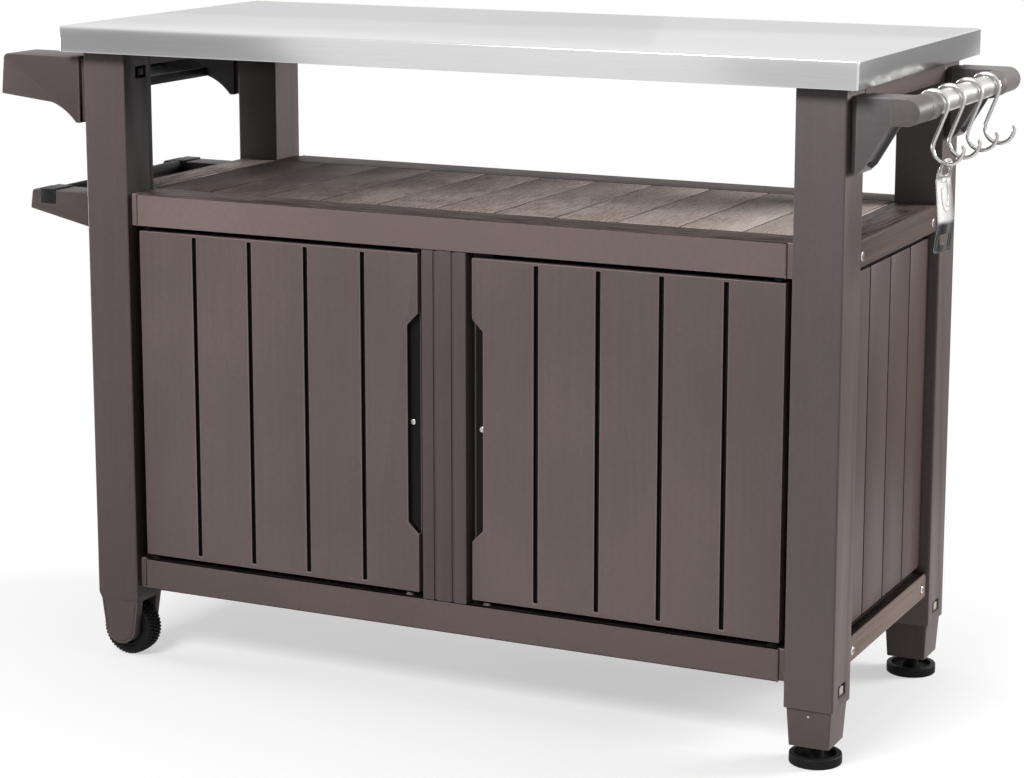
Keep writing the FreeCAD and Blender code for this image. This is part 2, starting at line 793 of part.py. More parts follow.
# Arms of the condiment tray: shells with a curved underside. Built at +X, +Y.
def tray_arm():
    high_tip = V(arm_reach - arm_tip_lean, leg_inner_y, arm_top - arm_tip_radius)
    top_start = V(arm_reach - arm_tip_lean - arm_tip_radius, leg_inner_y, arm_top)
    bend = arm_tip_radius * (1 - math.cos(math.pi / 4))
    corner = V(high_tip.x - bend, leg_inner_y, arm_top - bend)
    low_tip = V(arm_reach, leg_inner_y, arm_tip_low)
    curve_start = V(arm_curve_x, leg_inner_y, arm_curve_z)
    curve_end = V(flange_root_x + arm_root_flat, leg_inner_y, arm_root_z)
    halfway = (curve_start + curve_end) * 0.5 + V(0, 0, arm_curve_bulge)
    root_low = V(flange_root_x, leg_inner_y, arm_root_z)
    root_top = V(flange_root_x, leg_inner_y, arm_top)
    wire = Part.Wire([
        Part.LineSegment(low_tip, high_tip).toShape(),
        Part.Arc(high_tip, corner, top_start).toShape(),
        Part.LineSegment(top_start, root_top).toShape(),
        Part.LineSegment(root_top, root_low).toShape(),
        Part.LineSegment(root_low, curve_end).toShape(),
        Part.Arc(curve_end, halfway, curve_start).toShape(),
        Part.LineSegment(curve_start, low_tip).toShape(),
    ])
    body = Part.Face(wire).extrude(V(0, leg_depth, 0))
    w = arm_shell_wall
    pocket = box(flange_root_x + w, arm_reach - arm_tip_wall, leg_inner_y + w, leg_outer_y - w,
                 arm_root_z - past, arm_top - w)
    flange = box(leg_outer_x, flange_root_x, leg_inner_y + flange_inset, leg_outer_y - flange_inset,
                 arm_root_z + flange_drop, arm_top - flange_drop)
    return body.cut(pocket).fuse(flange).removeSplitter()


def condiment_tray():
    # Floor that follows the underside of the arms, an inner lip and a higher outer rail
    w = tray_wall
    outer = arm_reach - tray_tip_gap
    rail = outer - tray_rail_lean
    profile = [(arm_curve_x, arm_curve_z), (outer, arm_tip_low),
               (rail, tray_rail_top), (rail - w, tray_rail_top),
               (outer - w, arm_tip_low + w), (arm_curve_x + w, arm_curve_z + w),
               (arm_curve_x + w, tray_lip_top), (arm_curve_x, tray_lip_top)]
    return outline_prism(profile, -leg_inner_y, 2 * leg_inner_y, "xz")


# Paper roll holder: two arms with a notch each, and a bar that lifts out. Built at +X, +Y.
def roll_arm():
    tip_top = roll_arm_tip_x - roll_arm_tip_lean
    side = [(leg_outer_x, roll_arm_root_low), (roll_arm_tip_x, roll_arm_tip_low), (tip_top, roll_arm_top),
            (leg_outer_x, roll_arm_top)]
    body = outline_prism(side, roll_arm_inner_y, roll_arm_depth, "xz")
    tip = [e for e in edges_along(body, AXIS_Y) if abs(e.Vertexes[0].X - tip_top) < near]
    body = body.makeFillet(roll_arm_tip_radius, tip)
    half = saddle_width / 2 + saddle_clearance
    return body.cut(box(roll_bar_x - half, roll_bar_x + half,
                        roll_arm_inner_y - past, roll_arm_outer_y + past,
                        saddle_bottom - saddle_clearance, roll_arm_top + past))


def roll_bar():
    reach = roll_arm_inner_y - roll_bar_end_gap
    bar = cylinder(roll_bar_radius, 2 * reach, V(roll_bar_x, -reach, roll_bar_z), AXIS_Y)
    spigot = reach + roll_spigot_length
    return bar.fuse(cylinder(roll_spigot_radius, 2 * spigot, V(roll_bar_x, -spigot, roll_bar_z), AXIS_Y))


def roll_bar_ends():
    # A block in each notch, with a cover that shows above and outside the arm
    half = saddle_width / 2
    y0 = roll_arm_inner_y - roll_bar_end_gap
    block = box(roll_bar_x - half, roll_bar_x + half, y0, roll_arm_outer_y + saddle_proud,
                saddle_bottom, roll_arm_top + saddle_cover)
    top = [e for e in edges_along(block, AXIS_Y) if e.Vertexes[0].Z > roll_arm_top]
    block = block.makeFillet(saddle_round, top)
    bore = cylinder(roll_spigot_radius, roll_spigot_length, V(roll_bar_x, y0, roll_bar_z), AXIS_Y)
    block = block.cut(bore)
    return Part.makeCompound([block, mirror_y(block)])


# Towel bar brackets, sockets and tube. Built at +X, +Y.
def bar_bracket():
    flange = box(leg_outer_x, flange_root_x, bracket_inner_y + flange_inset, bracket_outer_y - flange_inset,
                 bracket_low, bracket_top)
    side = [(flange_root_x, bracket_low), (flange_root_x + bracket_foot, bracket_low), (gusset_x, gusset_z),
            (socket_split_x, bar_z - socket_radius), (socket_split_x, bar_z + socket_radius),
            (flange_root_x, bracket_top)]
    arm = outline_prism(side, bracket_inner_y, bracket_outer_y - bracket_inner_y, "xz")
    return arm.fuse(flange).removeSplitter()


def bar_socket():
    depth = bracket_outer_y - bracket_inner_y
    body = box(socket_split_x, bar_x, bracket_inner_y, bracket_outer_y,
               bar_z - socket_radius, bar_z + socket_radius)
    end = cylinder(socket_radius, depth, V(bar_x, bracket_inner_y, bar_z), AXIS_Y)
    body = body.fuse(end).removeSplitter()
    collar = cylinder(collar_radius, bracket_inner_y - collar_end_y, V(bar_x, collar_end_y, bar_z), AXIS_Y)
    for i in range(collar_rings):
        start = V(bar_x, collar_end_y + collar_ring_inset + i * collar_ring_pitch, bar_z)
        ring = cylinder(collar_radius + past, collar_ring_width, start, AXIS_Y)
        core = cylinder(collar_radius - collar_ring_depth, collar_ring_width, start, AXIS_Y)
        collar = collar.cut(ring.cut(core))
    bore = cylinder(bar_radius, bar_end_y - collar_end_y, V(bar_x, collar_end_y, bar_z), AXIS_Y)
    return body.fuse(collar).cut(bore)


def towel_bar():
    start = V(bar_x, -bar_end_y, bar_z)
    tube = cylinder(bar_radius, 2 * bar_end_y, start, AXIS_Y)
    return tube.cut(cylinder(bar_radius - bar_wall, 2 * bar_end_y, start, AXIS_Y))


# S hook: upper loop over the bar, a straight slanting stem, lower loop open to the outside
def loop_point(centre_x, centre_z, radius, degrees, y):
    turn = math.radians(degrees)
    return V(centre_x + radius * math.cos(turn), y, centre_z + radius * math.sin(turn))


def s_hook(y):
    span = math.hypot(hook_lower_dx, hook_lower_dz)
    fall = math.degrees(math.atan2(-hook_lower_dz, hook_lower_dx))
    turn = math.degrees(math.asin((hook_upper_radius + hook_lower_radius) / span))
    leave = fall - turn + 90
    enter = leave + 180
    finish = full_turn + hook_lower_end
    upper = (bar_x, hook_upper_z, hook_upper_radius)
    lower = (hook_lower_x, hook_lower_z, hook_lower_radius)
    a = loop_point(*upper, hook_upper_end, y)
    b = loop_point(*upper, (hook_upper_end + leave) / 2, y)
    c = loop_point(*upper, leave, y)
    d = loop_point(*lower, enter, y)
    e = loop_point(*lower, (enter + finish) / 2, y)
    f = loop_point(*lower, finish, y)
    path = Part.Wire([Part.Arc(a, b, c).toShape(), Part.LineSegment(c, d).toShape(),
                      Part.Arc(d, e, f).toShape()])
    start = math.radians(hook_upper_end)
    ring = Part.Wire([Part.Circle(a, V(-math.sin(start), 0, math.cos(start)), hook_wire_radius).toShape()])
    return path.makePipeShell([ring], True, False)


# Opener: a bent steel blade with a hanging hole and a cap window
def bottle_opener():
    y = hook_places[0]
    x = hook_lower_x
    wire_top = hook_lower_z - hook_lower_radius + hook_wire_radius
    hole_z = wire_top + hook_rest_gap - opener_hole_radius
    top = hole_z + opener_hole_radius + opener_rim
    low = top - opener_length
    bow = [(x + opener_sheet / 2, top), (x + opener_sheet / 2 - opener_bow, top - opener_waist_drop),
           (x + opener_sheet / 2, top - opener_belly_drop), (x + opener_sheet / 2 - opener_bow, low)]
    strip = bow + [(a - opener_sheet, b) for a, b in reversed(bow)]
    sheet = outline_prism(strip, y - opener_width, 2 * opener_width, "xz")
    half_top = opener_top_width / 2
    half = opener_width / 2
    shoulder = top - opener_belly_drop
    plan = [(y - half_top, top - half_top), (y - half, shoulder), (y - half, low - past),
            (y + half, low - past), (y + half, shoulder), (y + half_top, top - half_top)]
    x0 = x - opener_length
    through = 2 * opener_length
    blade = outline_prism(plan, x0, through, "yz")
    blade = blade.fuse(cylinder(half_top, through, V(x0, y, top - half_top), AXIS_X))
    window_low = low + opener_window_low
    window = box(x0, x0 + through, y - opener_window_width / 2, y + opener_window_width / 2,
                 window_low, window_low + opener_window_height)
    window = window.cut(box(x0, x0 + through, y - opener_tooth_width / 2, y + opener_tooth_width / 2,
                            window_low, window_low + opener_tooth_height))
    hole = cylinder(opener_hole_radius, through, V(x0, y, hole_z), AXIS_X)
    shape = sheet.common(blade).cut([hole, window])
    shape.rotate(V(x, y, hole_z), AXIS_Z, -opener_twist)
    return shape


os.makedirs("parts", exist_ok=True)

# Worktop and top rails
node("steel_top", steel_top())
node("top_board", top_board())
node("top_rail_right", side_top_rail())
node("top_rail_left", mirror_x(side_top_rail()))
node("top_aprons", top_aprons())

# Legs, feet and wheels: each piece is built at +Y for the back and mirrored to the front
right_corner = {"leg_right": leg_with_slot, "foot_cap": foot_cap, "levelling_foot": levelling_foot,
                "bar_bracket": bar_bracket, "bar_socket": bar_socket}
left_corner = {"leg_left": leg_with_arch, "wheel_fork": wheel_fork, "tyre": tyre, "wheel_hub": hub,
               "tray_arm": tray_arm, "roll_arm": roll_arm}
for name, make in right_corner.items():
    piece = make()
    node(name + "_back", piece)
    node(name + "_front", mirror_y(piece))
for name, make in left_corner.items():
    piece = mirror_x(make())
    node(name + "_back", piece)
    node(name + "_front", mirror_y(piece))
axle = mirror_x(wheel_axle())
node("wheel_axles", Part.makeCompound([axle, mirror_y(axle)]))

# Rails
node("front_rail_upper", drilled_for_hinges(long_rail(upper_front_low, deck_level), upper_front_low, AXIS_Z))
node("back_rail_upper", mirror_y(long_rail(upper_front_low, deck_level)))
node("front_rail_lower", front_rail_lower())
node("back_rail_lower",
     mirror_y(with_floor_ledge(long_rail(lower_front_low, floor_rail_top)).removeSplitter()))
node("side_rail_upper_right", upper_side_rail())
node("side_rail_upper_left", mirror_x(upper_side_rail()))
node("side_rail_lower_right", side_rail(lower_side_inner_x, lower_side_low, lower_side_top))
node("side_rail_lower_left", mirror_x(side_rail(lower_side_inner_x, lower_side_low, lower_side_top)))
node("rail_screws", rail_screws())

# Deck, floor, panels and posts
node("deck_panel", deck_panel())
node("floor_panel", floor_panel())
node("side_panel_right", side_panel())
node("side_panel_left", mirror_x(side_panel()))
node("back_panel_right", back_panel())
node("back_panel_left", mirror_x(back_panel()))
node("centre_post_front", front_post())
node("centre_post_back", mirror_y(post(back_post_depth)))
node("catch_magnets", Part.makeCompound([magnet(-1), magnet(1)]))

# Doors
node("door_right", door())
node("door_left", mirror_x(door()))
node("door_strike_right", catch_screw())
node("door_strike_left", mirror_x(catch_screw()))
node("hinge_pins", hinge_pins())

# Tray, paper roll bar, towel bar and what hangs on it
node("condiment_tray", mirror_x(condiment_tray()))
node("roll_bar", mirror_x(roll_bar()))
node("roll_bar_ends", mirror_x(roll_bar_ends()))
node("towel_bar", towel_bar())
for number, place in enumerate(hook_places, 1):
    node("s_hook_" + str(number), s_hook(place))
node("bottle_opener", bottle_opener())
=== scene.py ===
"""Grill cart with storage: the visible pieces, the finishes and the studio around its frame."""

import json
import math
from contextlib import contextmanager

import bmesh
import bpy
from bpy.props import FloatProperty, FloatVectorProperty, IntProperty, PointerProperty
from mathutils import Matrix, Vector

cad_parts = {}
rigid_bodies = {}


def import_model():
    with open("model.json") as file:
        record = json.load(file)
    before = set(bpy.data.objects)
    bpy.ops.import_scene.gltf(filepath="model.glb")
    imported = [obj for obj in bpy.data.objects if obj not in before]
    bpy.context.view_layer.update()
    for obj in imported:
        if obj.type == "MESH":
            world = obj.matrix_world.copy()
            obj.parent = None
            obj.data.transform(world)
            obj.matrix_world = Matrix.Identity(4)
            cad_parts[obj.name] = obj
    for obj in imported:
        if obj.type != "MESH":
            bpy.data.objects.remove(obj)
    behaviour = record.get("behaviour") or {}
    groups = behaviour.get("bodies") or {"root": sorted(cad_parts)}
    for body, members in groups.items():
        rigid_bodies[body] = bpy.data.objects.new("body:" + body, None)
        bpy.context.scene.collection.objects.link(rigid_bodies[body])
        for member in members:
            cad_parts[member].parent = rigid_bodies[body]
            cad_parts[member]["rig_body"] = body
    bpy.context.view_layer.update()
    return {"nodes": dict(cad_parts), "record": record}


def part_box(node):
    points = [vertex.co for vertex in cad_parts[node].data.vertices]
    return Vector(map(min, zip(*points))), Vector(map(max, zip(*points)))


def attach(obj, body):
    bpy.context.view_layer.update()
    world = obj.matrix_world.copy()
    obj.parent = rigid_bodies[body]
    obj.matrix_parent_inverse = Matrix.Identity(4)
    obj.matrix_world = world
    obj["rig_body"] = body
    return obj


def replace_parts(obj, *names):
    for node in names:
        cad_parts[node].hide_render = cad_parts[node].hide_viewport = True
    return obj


bl_info = {
    "name": "Grill cart with storage",
    "version": (1, 0, 0),
    "blender": (4, 5, 0),
    "location": "3D View > Sidebar > Grill cart",
    "description": "Dresses the frame of a grill cart with its visible pieces, finishes and studio",
    "category": "Object",
}

for stray in list(bpy.data.objects):
    bpy.data.objects.remove(stray)

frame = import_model()
nodes = frame["nodes"]
slot_of = {part["node"]: part["material_slot"] for part in frame["record"]["subparts"]}

MM = 0.001
# How far cutters reach past a face, how close places count as level, and how close points merge
past, near, touching = 1 * MM, 0.1 * MM, 0.01 * MM
# Least cosine to an axis of what runs along it and of a face square to it, and the most of what crosses it
along, square, crossing = 0.9, 0.98, 0.1
middle_x = (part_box("leg_right_front")[1].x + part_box("leg_left_front")[0].x) / 2


def seen(red, green, blue):
    """A colour as it looks on screen, 0 to 255, in the light values that the finishes use."""
    return tuple(((c / 255 + 0.055) / 1.055) ** 2.4 for c in (red, green, blue))


# Sizes and colours that a user may change


def length(name, description, millimetres):
    return FloatProperty(name=name, description=description, default=millimetres * MM, unit="LENGTH",
                         precision=4)


def whole(name, description, default, least=1):
    return IntProperty(name=name, description=description, default=default, min=least)


def degrees(name, description, turned):
    return FloatProperty(name=name, description=description, default=math.radians(turned), subtype="ANGLE")


def watts(name, description, power):
    return FloatProperty(name=name, description=description, default=power, min=0, unit="POWER")


def colour(name, description, *on_screen):
    return FloatVectorProperty(name=name, description=description, default=seen(*on_screen), subtype="COLOR",
                               size=3, min=0, max=1)


class CartSizes(bpy.types.PropertyGroup):
    """Sizes of the modelled details, in metres."""

    sheet: length("Sheet", "Thickness of the worktop's steel", 1.2)
    sheet_corner: length("Sheet corner", "Rounding of the worktop's upright corners", 2.5)
    sheet_edge: length("Sheet edge", "Rounding of the worktop's upper edge", 2.0)
    hem: length("Hem", "Width of the edge folded in under the worktop", 9)
    soft_edge: length("Soft edge", "Rounding of the moulded plastic's edges", 0.9)
    rail_edge: length("Rail edge", "Rounding of the rails' edges", 1.3)
    rail_end_round: length("Rail end", "Rounding where a rail steps back beside a leg", 2.6)
    leg_taper: length("Leg taper", "Height over which a left leg draws in to its fork", 11)
    leg_draw: length("Leg draw", "How far a left leg draws in on each side", 3.1)
    window_width: length("Window width", "Width of the snap windows in the legs", 28)
    window_height: length("Window height", "Height of the snap windows in the legs", 17)
    window_depth: length("Window depth", "Depth of the snap windows in the legs", 2.4)
    window_shift: length("Window shift", "How far a left leg's window lies towards the middle", 8)
    low_window: length("Low window", "Height of the right legs' windows over the floor", 99)
    high_window: length("High window", "Height of the left legs' windows over the floor", 835)
    plank_edge: length("Plank edge", "Rounding of the edges along each groove", 1.1)
    door_planks: whole("Door planks", "Planks in each door", 5)
    door_pitch: length("Door pitch", "Distance between the grooves of a door", 87.3)
    outer_plank_right: length("Outer plank, right", "Width of the right door's plank at its hinge", 78.3)
    outer_plank_left: length("Outer plank, left", "Width of the left door's plank at its hinge", 87.9)
    door_groove: length("Door groove", "Width of the grooves in the doors", 6.6)
    door_groove_depth: length("Door groove depth", "Depth of the grooves in the doors", 8)
    groove_top: length("Groove top", "Plain strip over the grooves of a door", 4.0)
    groove_bottom: length("Groove bottom", "Plain strip under the grooves of a door", 6.8)
    deck_planks: whole("Deck planks", "Planks in the deck", 11)
    # Planks over which the painted shade at the deck's left end fades.
    stained_planks: whole("Stained planks", "Planks over which the deck's dark end fades", 7)
    deck_groove: length("Deck groove", "Width of the grooves in the deck", 2.6)
    deck_groove_depth: length("Deck groove depth", "Depth of the grooves in the deck", 3.2)
    deck_end: length("Deck end", "Strip between the deck's last groove and its end", 3)
    side_planks: whole("Side planks", "Planks in each side wall", 4)
    back_planks: whole("Back planks", "Planks in each half of the back", 5)
    wall_groove: length("Wall groove", "Width of the grooves in the side and back walls", 3.6)
    wall_groove_depth: length("Wall groove depth", "Depth of the grooves in the walls", 6.5)
    wall_gap: length("Wall gap", "Gap over and under the planks of a side wall", 10)
    grip_reach: length("Grip reach", "How far the grip is cut into the door's edge", 15.8)
    grip_depth: length("Grip depth", "Depth of the grip", 10)
    grip_top: length("Grip top", "Height of the grip's upper end", 538)
    grip_bottom: length("Grip bottom", "Height of the grip's lower end", 237.4)
    wheel_radius: length("Wheel radius", "Radius over the tread blocks", 40)
    tread: length("Tread", "Height of the tread blocks", 2.6)
    tread_blocks: whole("Tread blocks", "Blocks round the tyre", 46, 8)
    tread_rows: whole("Tread rows", "Blocks across the tyre", 4)
    foot_radius: length("Foot radius", "Radius of a levelling foot", 34)
    foot_ridges: whole("Foot ridges", "Ridges round a levelling foot", 80, 8)
    hook_wire: length("Hook wire", "Thickness of the hooks' wire", 5)
    hook_upper: length("Hook upper loop", "Radius of the loop over the bar", 18.5)
    hook_lower: length("Hook lower loop", "Radius of the loop that carries tools", 19.5)
    hook_step: length("Hook step", "How far the lower loop stands out from the upper", 20.4)
    hook_drop: length("Hook drop", "How far the lower loop hangs below the upper", 52.3)
    opener_length: length("Opener length", "Length of the opener", 118)
    opener_width: length("Opener width", "Width of the opener at its foot", 42)
    opener_top_width: length("Opener top width", "Width of the opener at its round top", 34)
    opener_sheet: length("Opener sheet", "Thickness of the opener", 2)
    opener_hole: length("Opener hole", "Radius of the hanging hole", 8.5)
    opener_rim: length("Opener rim", "Steel over the hanging hole", 5)
    opener_bow: length("Opener bow", "How far the opener is bent back", 5.5)
    opener_waist: length("Opener waist", "Distance from the top to the first bend", 26)
    opener_belly: length("Opener belly", "Distance from the top to the second bend", 80)
    opener_turn: degrees("Opener turn", "How far the opener has turned on its hook", 14)


class CartColours(bpy.types.PropertyGroup):
    """Colours of the finishes."""

    panel: colour("Panel", "Doors, posts, walls and lower rails", 103, 90, 88)
    rail: colour("Rail", "Upper rails", 124, 109, 107)
    leg: colour("Leg", "Legs, forks and foot caps", 89, 77, 76)
    # Painted reflection and light on the right legs: their front faces take a cooler tone for the reflection
    # they show, and their outer faces a tone of their own for the light that falls there.
    leg_face: colour("Leg face", "Front faces of the right legs", 93, 84, 85)
    leg_side: colour("Leg side", "Outer faces of the right legs", 86, 73, 69)
    tab: colour("Tab", "Snap tabs in the legs", 168, 160, 152)
    wall: colour("Wall", "Side walls", 77, 61, 58)
    post: colour("Post", "Centre posts", 86, 75, 75)
    low_side_rail: colour("Low side rail", "Short rails at floor height", 114, 98, 91)
    side_rail: colour("Side rail", "Short rails", 86, 73, 68)
    arm: colour("Arm", "Arms of the tray and the roll holder", 80, 69, 68)
    # This colour also paints the arms' faces that look towards the other arm, as painted shade.
    tray: colour("Tray", "Condiment tray", 20, 19, 20)
    # Painted light on the deck: its tones are set lighter than its own colour, standing in for the light it
    # lacks under the worktop. Its bloom is painted sheen and its dark left end painted shade.
    deck: colour("Deck", "Middle tone of the grained deck", 208, 191, 183)
    deck_dark: colour("Deck grain", "Dark grain of the deck", 112, 95, 89)
    deck_painted_sheen: colour("Deck bloom", "Pale bloom on the deck", 224, 212, 203)
    deck_painted_shade: colour("Deck shade", "Dark stain at the deck's left end", 46, 36, 34)
    rail_top: colour("Rail top", "Middle tone of the grained rail tops", 112, 95, 90)
    # Also the middle tone of the lower rails' upper faces, as painted shade.
    rail_dark: colour("Rail grain", "Dark grain of the rail tops", 40, 31, 29)
    # Painted sheen: the pale patches on the rail tops.
    rail_painted_sheen: colour("Rail bloom", "Pale bloom on the rail tops", 150, 136, 128)
    bracket: colour("Bracket", "Brackets of the towel bar", 99, 94, 95)
    # Painted shade: the near black of grooves, recesses and dark gaps.
    groove: colour("Groove", "Inside of the grooves", 17, 14, 15)
    socket: colour("Socket", "Sockets of the towel bar", 99, 93, 91)
    black: colour("Black", "Black moulded plastic", 29, 28, 29)
    rubber: colour("Rubber", "Tyres", 20, 19, 20)
    steel: colour("Steel", "Brushed worktop", 219, 219, 220)
    bright: colour("Bright steel", "Hooks, opener and screws", 206, 204, 203)
    bar: colour("Bar", "Towel bar", 208, 206, 202)
    # Painted reflection: the opener's steel takes this darker tone below its lower bend, for the darker
    # surroundings it mirrors there.
    painted_dark_reflection: colour("Burnished steel", "Foot of the opener", 112, 110, 114)
    # Painted highlight: how much lighter the moulded edges are painted.
    edge_lift: FloatProperty(name="Edge lift", description="How much lighter the moulded edges are",
                             default=1.6, min=0, subtype="FACTOR")


class CartStudio(bpy.types.PropertyGroup):
    """Camera and lamps."""

    place: FloatVectorProperty(name="Camera place", description="Where the camera stands", size=3,
                               default=(1.5896, -3.2958, 1.2036), subtype="TRANSLATION", unit="LENGTH")
    tilt: degrees("Tilt", "Camera's angle from straight down", 79.1)
    roll: degrees("Roll", "Camera's roll", -0.09)
    turn: degrees("Turn", "Camera's turn to the left", 25.43)
    lens: FloatProperty(name="Lens", description="Focal length in mm", default=94.27, min=1)
    shift_x: FloatProperty(name="Shift across", description="Sideways shift of the view", default=-0.01357)
    shift_y: FloatProperty(name="Shift up", description="Upward shift of the view", default=-0.07139)
    ambient: FloatProperty(name="Ambient", description="Strength of the light from all round",
                           default=0.13, min=0)
    key: watts("Key", "Power of the lamp in front", 152)
    left: watts("Left", "Power of the lamp at the left", 32)
    side: watts("Side", "Power of the lamp at the right", 105)
    top: watts("Top", "Power of the lamp overhead", 30)


# Modelling


def only(piece):
    """Makes this the one selected and active object."""
    bpy.ops.object.select_all(action="DESELECT")
    piece.select_set(True)
    bpy.context.view_layer.objects.active = piece


def settled(name):
    """Names the new primitive and puts its place into its mesh."""
    piece = bpy.context.object
    piece.name = piece.data.name = name
    bpy.ops.object.transform_apply(location=True, rotation=True, scale=True)
    return piece


def block(name, low, high):
    low, high = Vector(low), Vector(high)
    bpy.ops.object.select_all(action="DESELECT")
    bpy.ops.mesh.primitive_cube_add(size=1, location=(low + high) / 2, scale=high - low)
    return settled(name)


def rod(name, radius, start, end, sides=48):
    """A round bar from one point to another."""
    start, end = Vector(start), Vector(end)
    bpy.ops.object.select_all(action="DESELECT")
    bpy.ops.mesh.primitive_cylinder_add(
        vertices=sides, radius=radius, depth=(end - start).length, location=(start + end) / 2,
        rotation=(end - start).to_track_quat("Z", "Y").to_euler())
    return settled(name)


@contextmanager
def shaping(piece):
    """Edit mode on one piece."""
    only(piece)
    bpy.ops.object.mode_set(mode="EDIT")
    yield
    bpy.ops.object.mode_set(mode="OBJECT")


def pick(kind, wanted):
    """Selects the faces or edges of the piece being shaped for which wanted(middle, direction) holds."""
    bpy.ops.mesh.select_mode(type=kind)
    bpy.ops.mesh.select_all(action="DESELECT")
    shape = bmesh.from_edit_mesh(bpy.context.object.data)
    if kind == "FACE":
        for face in shape.faces:
            face.select_set(bool(wanted(face.calc_center_median(), face.normal)))
    else:
        for edge in shape.edges:
            start, end = (vertex.co for vertex in edge.verts)
            edge.select_set(bool(wanted((start + end) / 2, (end - start).normalized())))
    bmesh.update_edit_mesh(bpy.context.object.data)


def with_modifier(piece, kind, **settings):
    only(piece)
    modifier = piece.modifiers.new(kind.title(), kind)
    for key, value in settings.items():
        setattr(modifier, key, value)
    bpy.ops.object.modifier_apply(modifier=modifier.name)
    return piece


def painted(piece, *coats):
    piece.data.materials.clear()
    for finish in coats:
        piece.data.materials.append(finish)
    return piece


def rounded(piece, width, segments=2, angle=35, edge=None):
    """Rounds the edges that turn by more than the angle. The rounding may take a finish of its own."""
    if edge:
        piece.data.materials.append(edge)
    slot = len(piece.data.materials) - 1 if edge else -1
    return with_modifier(piece, "BEVEL", width=width, segments=segments, limit_method="ANGLE",
                         angle_limit=math.radians(angle), use_clamp_overlap=False, material=slot)


def cut_out(piece, cutter):
    with_modifier(piece, "BOOLEAN", operation="DIFFERENCE", solver="EXACT", object=cutter)
    bpy.data.objects.remove(cutter)


def joined(name, pieces):
    only(pieces[0])
    for piece in pieces:
        piece.select_set(True)
    if len(pieces) > 1:
        bpy.ops.object.join()
    pieces[0].name = pieces[0].data.name = name
    return pieces[0]


def copied(piece, name, change):
    """A copy with its own mesh, moved, turned or mirrored by a matrix."""
    twin = bpy.data.objects.new(name, piece.data.copy())
    twin.data.name = name
    bpy.context.scene.collection.objects.link(twin)
    twin.data.transform(change)
    if change.determinant() < 0:
        twin.data.flip_normals()
    return twin


def across(x):
    """Mirrors left to right about an upright plane."""
    return Matrix.Translation((2 * x, 0, 0)) @ Matrix.Scale(-1, 4, (1, 0, 0))


def front_to_back():
    return Matrix.Scale(-1, 4, (0, 1, 0))


def shell(node, name=None):
    """A copy of a node's solid as one clean shell."""
    piece = bpy.data.objects.new(name or node + "_shell", nodes[node].data.copy())
    bpy.context.scene.collection.objects.link(piece)
    with shaping(piece):
        bpy.ops.mesh.customdata_custom_splitnormals_clear()
        bpy.ops.mesh.select_all(action="SELECT")
        bpy.ops.mesh.remove_doubles(threshold=touching)
        bpy.ops.mesh.dissolve_limited(angle_limit=math.radians(0.5))
    return piece


def moulding(node, finish, width, segments=2, edge=None, name=None):
    """A shell of a node in its finish, with its edges rounded."""
    return rounded(painted(shell(node, name), finish), width, segments, edge=edge)


def repaint(piece, way, finish, least=along):
    """Gives the faces of a piece that look one way a finish of their own."""
    piece.data.materials.append(finish)
    for face in piece.data.polygons:
        if face.normal.dot(Vector(way)) > least:
            face.material_index = len(piece.data.materials) - 1


def grooves(name, low, high, face, run, places, width, depth, margins=(-past, -past)):
    """Cutters for grooves in one face of a board, at places across it, along the run."""
    n, r = "xyz".index(face[-1]), "xyz".index(run)
    s = 3 - n - r
    cutters = []
    for number, place in enumerate(places):
        start, end = list(low), list(high)
        start[s], end[s] = place - width / 2, place + width / 2
        start[r], end[r] = low[r] + margins[0], high[r] - margins[1]
        if face.startswith("-"):
            start[n], end[n] = low[n] - past, low[n] + depth
        else:
            start[n], end[n] = high[n] - depth, high[n] + past
        cutters.append(block(f"{name}_groove_{number}", start, end))
    return joined(name + "_grooves", cutters)


def round_board(piece, low, high, face, top, width, segments=2, edge=None):
    """Rounds a grooved board. The walls and floors of its grooves are painted near black, as painted shade.
    """
    margin = 0.4 * MM
    rounded(painted(piece, top, recess_shade_finish()), width, segments, edge=edge)
    axis = "xyz".index(face[-1])
    for polygon in piece.data.polygons:
        place = polygon.center[axis]
        inward = place - low[axis] if face.startswith("-") else high[axis] - place
        inside = all(low[i] + past < polygon.center[i] < high[i] - past for i in range(3) if i != axis)
        if width + margin < inward < (high - low)[axis] - past and inside:
            polygon.material_index = 1


def divided(start, end, count):
    """The places that divide a stretch into equal planks."""
    return [start + (end - start) * i / count for i in range(1, count)]


def seat(piece, *stands_for, angle=32):
    """Lets a piece stand for these nodes on their body, with smooth shading up to an angle."""
    only(piece)
    bpy.ops.object.shade_smooth_by_angle(angle=math.radians(angle))
    first = stands_for[0]
    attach(piece, nodes[first]["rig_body"])
    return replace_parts(piece, *stands_for)


def dress(piece, finish, *stands_for, angle=32):
    """Gives a piece its finish and seats it."""
    return seat(painted(piece, finish), *stands_for, angle=angle)


# Finishes


class Value:
    """A number that varies over a surface. Sums on it add Math nodes."""

    def __init__(self, maker, socket):
        self.maker = maker
        self.socket = socket

    def math(self, operation, first, second):
        return self.maker.node("Math", {"operation": operation}, {0: first, 1: second})

    def __add__(self, other):
        return self.math("ADD", self, other)

    def __radd__(self, other):
        return self.math("ADD", other, self)

    def __sub__(self, other):
        return self.math("SUBTRACT", self, other)

    def __rsub__(self, other):
        return self.math("SUBTRACT", other, self)

    def __mul__(self, other):
        return self.math("MULTIPLY", self, other)

    def __rmul__(self, other):
        return self.math("MULTIPLY", other, self)


